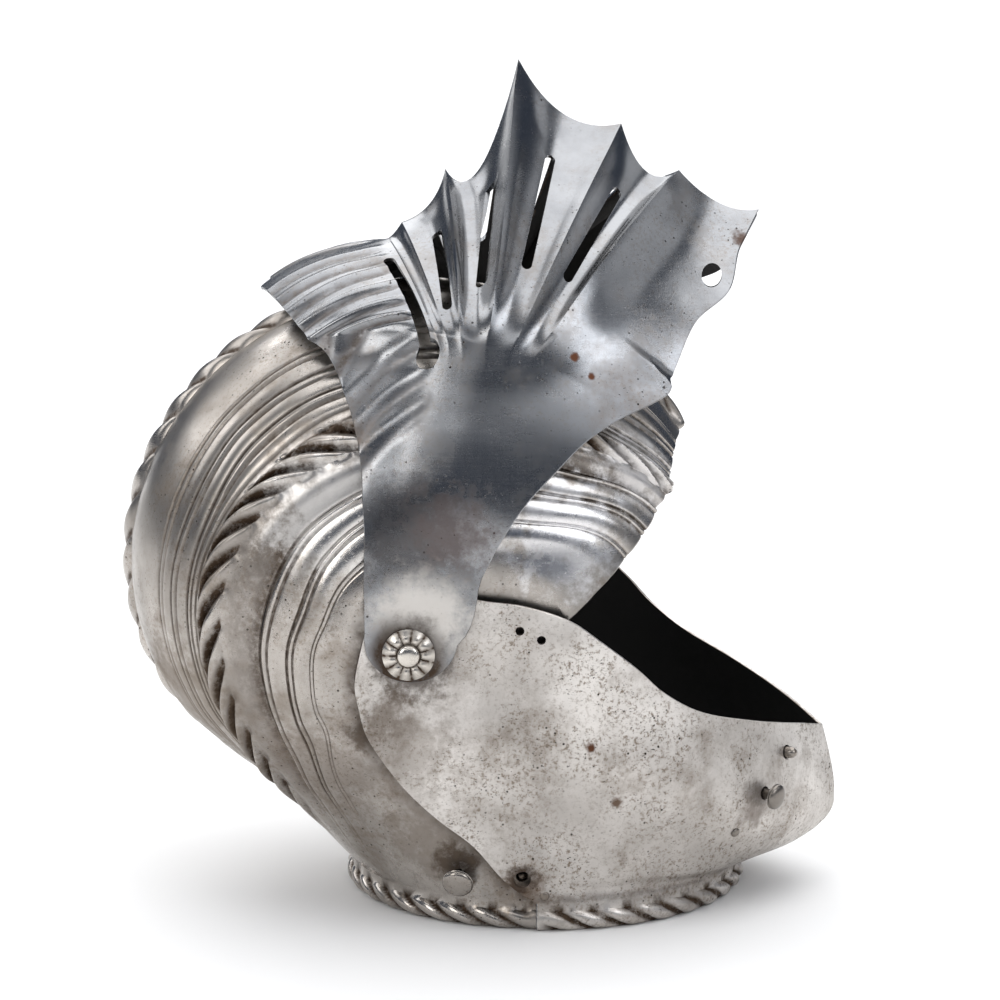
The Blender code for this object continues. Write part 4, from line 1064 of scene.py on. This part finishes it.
def visorPoint(share, column):
    # column 0 is the middle, 1 the cheek, 2 over the lug, 3 the lug's lower edge
    lug = turning["lugRadius"]
    if column > 2:
        low = math.radians(mix(-12, -168, share))
        edge = Vector((0.001 + lug * math.cos(low), -lugHalfWidth, lug * (0.32 + 0.93 * math.sin(low))))
        return visorPoint(share, 2).lerp(edge, column - 2)
    cheek = visorShape["cheekRadius"]
    width = curveAt(visorSwell, "share", "width", share) * visorShape["cheekHalfWidth"]
    roundness = curveAt(visorSwell, "share", "round", share)
    side = curveAt(visorSwell, "share", "side", share)

    def edge(rows, radius):
        return curveAt(rows, "radius", "angle", radius / cheek)

    if column <= 1:
        tip = foldTip(share)
        reach, tipAngle = math.hypot(tip.x, tip.z), math.degrees(math.atan2(tip.z, tip.x))
        radius = reach - (reach - cheek) * column ** roundness
        cheekFront = edge(visorFront, cheek)
        angle = mix(tipAngle, mix(cheekFront, edge(visorRear, cheek), share), column)
        straight = mix(visorFolds["angle"][0], cheekFront, column)
        angle += (edge(visorFront, radius) - straight) * max(0.0, 1 - share / 0.3)
        bend = visorShape["foldAngle"]
        return sidePoint(radius, angle, -width * math.sin(bend * column) / math.sin(bend))
    radius = mix(cheek, lug * 1.07, column - 1)
    flat = lug * 2.2
    out = max(0.0, (radius - flat) / (cheek - flat)) ** side
    y = -mix(lugHalfWidth, width, out)
    return sidePoint(radius, mix(edge(visorFront, radius), edge(visorRear, radius), share), y)


def foldRelief(share, column):
    # folds stand out and their hollows sink on the sides too; the forehead is fluted
    shares = visorFolds["share"]
    rise, grime = 0.0, 0.0
    spanEnd = ease(0.0, 0.12, column) * (1 - ease(0.55, 1.12, column))
    if share < shares[6] and spanEnd > 0:
        k = max(i for i in range(6) if shares[i] <= share)
        t = (share - shares[k]) / (shares[k + 1] - shares[k])
        if k == 0:
            t = 0.5 + ease(0.45, 1.0, t) / 2
        ridge = abs(2 * t - 1) ** 1.7
        wide = min(1.0, (shares[k + 1] - shares[k]) / 0.075) if k else 1.0
        rise += visorShape["foldSink"] * spanEnd * wide * (ridge - 0.55)
    forehead = ease(0.630, 0.70, share)
    if forehead > 0:
        t = (share - 0.70) / 0.30
        for front, rear, strength in zip(*foreheadFlutes.values()):
            place = mix(front, rear, t)
            width = mix(*visorShape["fluteWidth"], max(0.0, t))
            off = column - place
            if abs(off) < 5 * width:
                rise += forehead * strength * visorShape["fluteRise"] * (
                    bump(off, width) - 0.55 * bump(off - 2.1 * width, width * 0.7))
                grime = max(grime, forehead * strength * 0.55 * bump(off - 2.0 * width, width * 0.7))
    return rise, grime


def makeVisor():
    shares = []
    folds = visorFolds["share"]
    for k in range(len(folds) - 1):
        steps = visorShape["foldRows"] if k < 6 else visorShape["foreheadRows"] // 2
        shares += [mix(folds[k], folds[k + 1], i / steps) for i in range(steps)]
    shares.append(1.0)
    drop, lift = math.degrees(turning["visorDrop"]), math.degrees(turning["bevorLift"])
    clearance = Clearance(turning["visorRoom"], (skullTree, -drop, lift), (bevorTree, -drop, 0))
    places = spread((0.0, 0.06, 6), (0.06, 1.1, 104), (1.1, 1.5, 30), (1.5, 2.0, 14), (2.0, 3.0, 10))
    strength, ring, width = visorShape["boltDirt"]
    base, relief, grimes = [], [], []
    for share in shares:
        half, rises, darkenings = [], [], []
        for column in places:
            p = visorPoint(share, column)
            p.y = mix(p.y, clearance.over(p), ease(0.0, 0.15, column))
            half.append(p)
            rise, darkAmount = foldRelief(share, column)
            rises.append(rise)
            darkenings.append(max(darkAmount, strength * bump(math.hypot(p.x, p.z) - ring, width)))
        base.append(mirroredRow(half))
        relief.append(bothHalves(rises, rises))
        grimes.append(bothHalves(darkenings, darkenings))
    out = gridNormals(base, Vector((0.3, 0, 1)))
    shaped = [[p + n * (rise + hammered(p, *visorShape["dents"])) for p, n, rise in zip(*layers)]
              for layers in zip(base, out, relief)]
    inner = []
    middle = len(base[0]) // 2
    for share, row, ns in zip(shares, shaped, out):
        inner.append([p - n * plateThick for p, n in zip(row, ns)])
        for j, thin in ((middle, 1.5), (middle - 1, 1.25), (middle + 1, 1.25)):
            depth = mix(thin, 1, ease(0.64, 0.76, share))
            inner[-1][j] = row[j] * (1 - plateThick * depth / row[j].length)
    inner[1:-1] = [row[::2] for row in inner[1:-1]]
    shell = plateShell(shaped, inner, grimes, [[insideGrime] * len(row) for row in inner])
    visor = shell.build("visor_shell", visorSteel)
    print("visor folded,", len(visor.data.polygons), "faces")
    return visor


visor = makeVisor()
visorTree = treeOf(visor)


def fitInside(piece):
    # no hammer mark stands out past the plain solids
    for vert in piece.data.vertices:
        for axis in range(3):
            vert.co[axis] = min(max(vert.co[axis], cadBox[0][axis] + boxRoom), cadBox[1][axis] - boxRoom)


# Holes and slots

holes = {"bore": 0.0041, "lace": 0.0020, "peg": 0.0047, "window": 0.0038, "deep": 0.0072, "pegDeep": 0.016,
         "rivetDeep": 0.0054, "windowDeep": 0.0040, "windowOut": 0.0030, "slotSides": 14,
         "laceHoles": ((0.0491, 0.0097), (0.0586, 0.0054)), "pegHole": (0.064, 0.30)}


def drill(radius, place, deep=holes["deep"], out=None, sides=40):
    return lathe("drill", ((radius, -deep), (radius, deep if out is None else out)), place, sides)


def drillInto(tree, x, z, radius, far=False):
    spot, way = faceAt(tree, x, z)
    if far:
        spot, way = Vector((spot.x, -spot.y, spot.z)), Vector((way.x, -way.y, way.z))
    return drill(radius, standOn(spot, way))


def slotTool(k, side):
    ends = {name: visorSlots[name][k] for name in visorSlots}
    near = visorPoint(ends["shareOut"], ends["columnOut"])
    far = visorPoint(ends["shareIn"], ends["columnIn"])
    run = (far - near).normalized()
    wide = Vector((0, 1, 0)).cross((near + far) / 2).normalized()
    deep = run.cross(wide).normalized() * ends["depth"]
    wide = deep.cross(run).normalized()
    half = ends["width"] * visorShape["cheekRadius"] / 2
    outline = []
    for middle, radius, turn in ((near, half, math.pi), (far, half * ends["keyhole"], 0.0)):
        opening = math.pi / 2 if middle is near else math.pi - math.asin(half / radius)
        for i in range(holes["slotSides"] + 1):
            a = turn + mix(-opening, opening, i / holes["slotSides"])
            outline.append(middle + run * radius * math.cos(a) + wide * radius * math.sin(a))
    rings = [[Vector((q.x, side * q.y, q.z)) for q in (p + deep * way for p in outline)] for way in (1, -1)]
    return prism("slot", rings)


# Spring catches and rivets, in side view from the pivot

catchShape = {
    "studRadius": 0.0021, "studHeight": 0.0052, "tuckedStud": 0.0008, "neckRadius": 0.0024,
    "neckHeight": 0.0050, "visorHead": 0.0058, "neckHead": 0.0070, "headHeight": 0.0038,
    "leafThick": 0.0010, "leafSide": 0.0045, "room": 0.0007,
}
catchPlaces = {"neckStud": (0.0502, -0.1075), "neckButton": (0.0225, -0.1080),
               "visorStud": (0.1716, -0.0636), "visorButton": (0.1608, -0.0783)}
rivetShape = {"radius": 0.0012, "head": 0.0022, "rise": 0.0010, "room": 0.0006}
rivetPlaces = {"front": (0.1470, -0.0940), "neck": (0.0603, -0.1160)}


def makeCatch(name, tree, stud, button, head, tall, radius):
    # a stud and a button on one spring leaf behind the plate, and the tools that cut their holes
    ends = [faceAt(tree, *stud), faceAt(tree, *button)]
    way = (ends[0][1] + ends[1][1]).normalized()
    droop = (ends[1][1] + way + Vector((0, 0, -0.35))).normalized()
    depth = plateThick * 1.9 + gap
    sunk = -depth - catchShape["leafThick"] * 0.8
    profile = [(radius, sunk), (radius, tall - radius * 1.3), (radius * 0.86, tall - radius * 0.6),
               (radius * 0.5, tall - radius * 0.12), (0, tall)]
    pins = [lathe(name + "_stud", profile, standOn(ends[0][0], way), 32)]
    slim, up, full = catchShape["neckRadius"], catchShape["neckHeight"], catchShape["headHeight"]
    profile = [(slim, sunk), (slim, up - 0.0006), (slim * 1.2, up)]
    for a in (-80, -50, -20, 0, 15, 30, 45, 60, 72, 82):
        c, s = math.cos(math.radians(a)), math.sin(math.radians(a))
        under, over = (1 - 0.28 * c ** 6, 0.30), (c ** 0.75, 0.62)
        out, bulge = under if a < 0 else over
        profile.append((head * out, up + full * (0.38 + bulge * s)))
    profile.append((0, up + full))
    pins.append(lathe(name + "_button", profile, standOn(ends[1][0], droop), 48))
    run = (ends[1][0] - ends[0][0]).normalized()
    across = way.cross(run).normalized() * catchShape["leafSide"]
    run *= catchShape["leafSide"]
    rings = []
    for low in (0.0, catchShape["leafThick"]):
        ring = []
        for spot, sign in ((ends[0][0], -1), (ends[1][0], 1)):
            for a in (math.pi * i / 8 for i in range(9)):
                off = across * math.cos(a) * -sign + run * math.sin(a) * sign
                ring.append(spot - way * (depth + low) + off)
        rings.append(ring)
    leaf = prism(name + "_leaf", rings)
    whole = joined(name + "_worn", [leaf] + pins, catchSteel)
    shadeSteel(whole, 45)
    tools = [drill(wide + catchShape["room"], standOn(spot, lean))
             for (spot, _), wide, lean in zip(ends, (radius, slim), (way, droop))]
    return whole, tools, way


def makeRivet(name, tree, spot):
    place = standOn(*faceAt(tree, *spot))
    radius, head, rise, room = (rivetShape[key] for key in ("radius", "head", "rise", "room"))
    inside = -plateThick - room
    low = room * 0.4
    profile = [(head, inside - rise), (head, inside), (radius, inside), (radius, low), (head, low)]
    for a in (20, 40, 60, 78):
        profile.append((head * math.cos(math.radians(a)), low + rise * math.sin(math.radians(a))))
    profile.append((0, low + rise))
    rivet = lathe(name, profile, place, 32, catchSteel)
    return rivet, drill(radius + gap, place, holes["rivetDeep"], sides=32)


neckCatch, skullTools, studWay = makeCatch(
    "neck_catch", skullTree, catchPlaces["neckStud"], catchPlaces["neckButton"], catchShape["neckHead"],
    catchShape["tuckedStud"], catchShape["studRadius"])
visorCatch, bevorTools, _ = makeCatch(
    "visor_catch", bevorTree, catchPlaces["visorStud"], catchPlaces["visorButton"], catchShape["visorHead"],
    catchShape["studHeight"], catchShape["studRadius"] * 1.3)
frontRivet, tool = makeRivet("bevor_rivet_front_worn", bevorTree, rivetPlaces["front"])
bevorTools.append(tool)
neckRivet, tool = makeRivet("bevor_rivet_neck_worn", bevorTree, rivetPlaces["neck"])
bevorTools.append(tool)
windowSpot = faceAt(bevorTree, *catchPlaces["neckStud"])[0]
bevorTools.append(drill(holes["window"], standOn(windowSpot, studWay), holes["windowDeep"],
                        holes["windowOut"]))
print("catches and rivets made")

visorTools = [slotTool(k, side) for k in range(len(visorSlots["width"])) for side in (1, -1)]
peg = visorPoint(*holes["pegHole"])
pegSpot = Vector((peg.x, sideOf(visorTree, peg.x, peg.z), peg.z))
visorTools.append(drill(holes["peg"], standOn(pegSpot, Vector((0, -1, 0))), holes["pegDeep"]))
bevorTools += [drillInto(bevorTree, x, z, holes["lace"]) for x, z in holes["laceHoles"]]
for tree, tools in ((skullTree, skullTools), (bevorTree, bevorTools), (visorTree, visorTools)):
    tools += [drillInto(tree, 0, 0, holes["bore"], far) for far in (False, True)]
for piece, tools in ((skull, skullTools), (bevor, bevorTools), (visor, visorTools)):
    fitInside(piece)
    cutThrough(piece, tools)
print("holes and slots cut")


# Pivot bolts

rosette = {"radius": 0.0118, "height": 0.0050, "petals": 11, "sectors": 12, "boss": 0.42, "bolt": 0.0036,
           "burr": 0.0070, "burrHeight": 0.0015, "burrRoom": 0.0014, "foot": 0.985, "footDirt": 0.4}


def rosetteHeight(out, turn):
    # out is 0 at the middle and 1 at the rim, turn counts petals
    petal = abs(math.cos(math.pi * turn)) ** 0.6
    if out < rosette["boss"]:
        t = out / rosette["boss"]
        return 0.62 + 0.38 * math.sqrt(max(0.0, 1 - t ** 2.6)), 0.0
    t = (out - rosette["boss"]) / (1 - rosette["boss"])
    bowl = 0.30 + 0.30 * math.sin(math.pi * min(1.0, t * 1.15 + 0.08)) * mix(0.35, 1.0, petal)
    bowl *= 1 - 0.55 * ease(0.80, 1.0, t)
    return bowl, max(bump(t, 0.10), (1 - petal) ** 0.75 * ease(0.0, 0.1, t) * 1.1)


def makeRosette(name, side):
    seats = [sidePoint(rosette["radius"] * share, 15 * i, 0) for share in (0.5, 1.0) for i in range(24)]
    outside = gap - min(sideOf(visorTree, seat.x, seat.z) for seat in seats)
    inside = -sideOf(skullTree, 0, 0) - plateThick - rosette["burrRoom"]
    count = rosette["petals"] * rosette["sectors"]
    outs = spread((0.0, 0.36, 7), (0.36, 0.5, 6), (0.5, 1.0, 10))[1:]
    bm = bmesh.new()
    layer = bm.verts.layers.float.new("grime")

    def ring(radius, heights, darkenings):
        made = []
        for i in range(count):
            a = math.tau * i / count
            made.append(bm.verts.new(pivotPlace + Vector((radius * math.cos(a), side * heights[i],
                                                          radius * math.sin(a)))))
            made[-1][layer] = darkenings[i]
        return made

    foot = rosette["radius"] * rosette["foot"]
    rings = []
    for radius, height in ((rosette["burr"], inside - rosette["burrHeight"]), (rosette["burr"], inside),
                           (rosette["bolt"], inside), (rosette["bolt"], outside), (foot, outside)):
        rings.append(ring(radius, [height] * count, [rosette["footDirt"]] * count))
    for out in reversed(outs):
        heights, darkenings = [], []
        for i in range(count):
            up, darkAmount = rosetteHeight(out, i / rosette["sectors"])
            heights.append(outside + rosette["height"] * up)
            darkenings.append(darkAmount)
        rings.append(ring(foot if out == 1 else rosette["radius"] * out, heights, darkenings))
    tip = bm.verts.new(pivotPlace + Vector((0, side * (outside + rosette["height"]), 0)))
    for low, high in zip(rings, rings[1:]):
        for i in range(count):
            j = (i + 1) % count
            bm.faces.new((low[i], low[j], high[j], high[i]))
    for i in range(count):
        bm.faces.new((rings[-1][i], rings[-1][(i + 1) % count], tip))
    bm.faces.new(rings[0])
    bmesh.ops.recalc_face_normals(bm, faces=bm.faces)
    bolt = pieceFrom(name, bm, boltSteel)
    shadeSteel(bolt, 45)
    return bolt


rosetteRight = makeRosette("rosette_right", -1)
rosetteLeft = makeRosette("rosette_left", 1)
print("rosettes made")


# What each piece stands for, and what it moves with

for piece, node, body, slot in (
        (skull, "skull", "shell", "skull_steel"),
        (bevor, "bevor", "chin_guard", "bevor_steel"),
        (visor, "visor", "face_guard", "visor_steel"),
        (rosetteRight, "pivot_bolt_right", "shell", "bolt_steel"),
        (rosetteLeft, "pivot_bolt_left", "shell", "bolt_steel"),
        (neckCatch, "neck_catch", "neck_button", "catch_steel"),
        (visorCatch, "visor_catch", "visor_button", "catch_steel"),
        (frontRivet, "bevor_rivet_front", "chin_guard", "catch_steel"),
        (neckRivet, "bevor_rivet_neck", "chin_guard", "catch_steel")):
    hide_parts(node)
    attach(piece, body)
print("pieces ride on their bodies")


# Floor, light and camera

studio = {"floorSize": 14.0, "floorColour": (0.90, 0.895, 0.885), "floorTint": (0.86, 0.855, 0.85),
          "sky": 0.12, "skyColour": (0.55, 0.68, 0.95, 1),
          "target": (0.0102, 0, 0.1797), "distance": 2.2, "elevation": 12.5, "lens": 172.17}
lamps = {  # place, what it shines at, size, power and colour
    "overhead": ((0.2, 0.9, 3.6), (0.2, 0.9, 0), (5.0, 5.0), 180, (1, 1, 1)),
    "far_wash": ((0, 6.4, 4.2), (0, 5.6, 0), (9.0, 4.0), 300, (1, 1, 1)),
    "front_wash": ((0, -4.8, 3.8), (0, -3.8, 0), (6.0, 1.6), 55, (1, 1, 1)),
    "left_box": ((-2.5, -2.5, 1.7), (0, 0, 0.2), (1.5, 1.9), 34, (1.0, 0.985, 0.96)),
    "right_box": ((2.3, -2.0, 2.0), (0, 0, 0.2), (1.5, 1.7), 30, (0.95, 0.97, 1.0)),
    "right_high": ((3.4, 0.2, 2.0), (0, 0, 0.2), (2.0, 1.6), 7, (1, 1, 1)),
    "left_high": ((-3.8, 1.4, 2.8), (0, 0, 0.2), (3.0, 2.6), 62, (1, 1, 1)),
}


def layFloor():
    half = studio["floorSize"] / 2
    mesh = bpy.data.meshes.new("floor")
    corners = [(-half, -half, 0), (half, -half, 0), (half, half, 0), (-half, half, 0)]
    mesh.from_pydata(corners, [], [(0, 1, 2, 3)])
    floor = bpy.data.objects.new("floor", mesh)
    bpy.context.scene.collection.objects.link(floor)
    n = Nodes("pale_floor")
    n.wire(n.blend(n.window(n.cloud(3, 3), 0.3, 0.7, 0.0, 0.3), studio["floorColour"], studio["floorTint"]),
           n.shader.inputs["Base Color"])
    n.shader.inputs["Roughness"].default_value = 0.75
    mesh.materials.append(n.material)


def hangLight(name, place, aim, size, power, colour):
    lamp = bpy.data.lights.new(name, "AREA")
    lamp.shape = "RECTANGLE"
    lamp.size, lamp.size_y = size
    lamp.energy = power
    lamp.color = colour
    light = bpy.data.objects.new(name, lamp)
    light.location = place
    light.rotation_euler = (Vector(aim) - Vector(place)).to_track_quat("-Z", "Y").to_euler()
    bpy.context.scene.collection.objects.link(light)


def setStudio():
    layFloor()
    for name, lamp in lamps.items():
        hangLight(name, *lamp)
    world = bpy.data.worlds.new("studio")
    bpy.context.scene.world = world
    world.use_nodes = True
    sky = world.node_tree.nodes["Background"]
    sky.inputs["Color"].default_value = studio["skyColour"]
    sky.inputs["Strength"].default_value = studio["sky"]
    bpy.context.scene.view_settings.view_transform = "Standard"
    camera = bpy.data.cameras.new("camera")
    camera.lens = studio["lens"]
    camera.sensor_width = 36
    eye = bpy.data.objects.new("camera", camera)
    rise = math.radians(studio["elevation"])
    back = Vector((0, -math.cos(rise), math.sin(rise)))
    eye.location = Vector(studio["target"]) + studio["distance"] * back
    eye.rotation_euler = (math.pi / 2 - rise, 0, 0)
    bpy.context.scene.collection.objects.link(eye)
    bpy.context.scene.camera = eye


setStudio()
print("studio set")
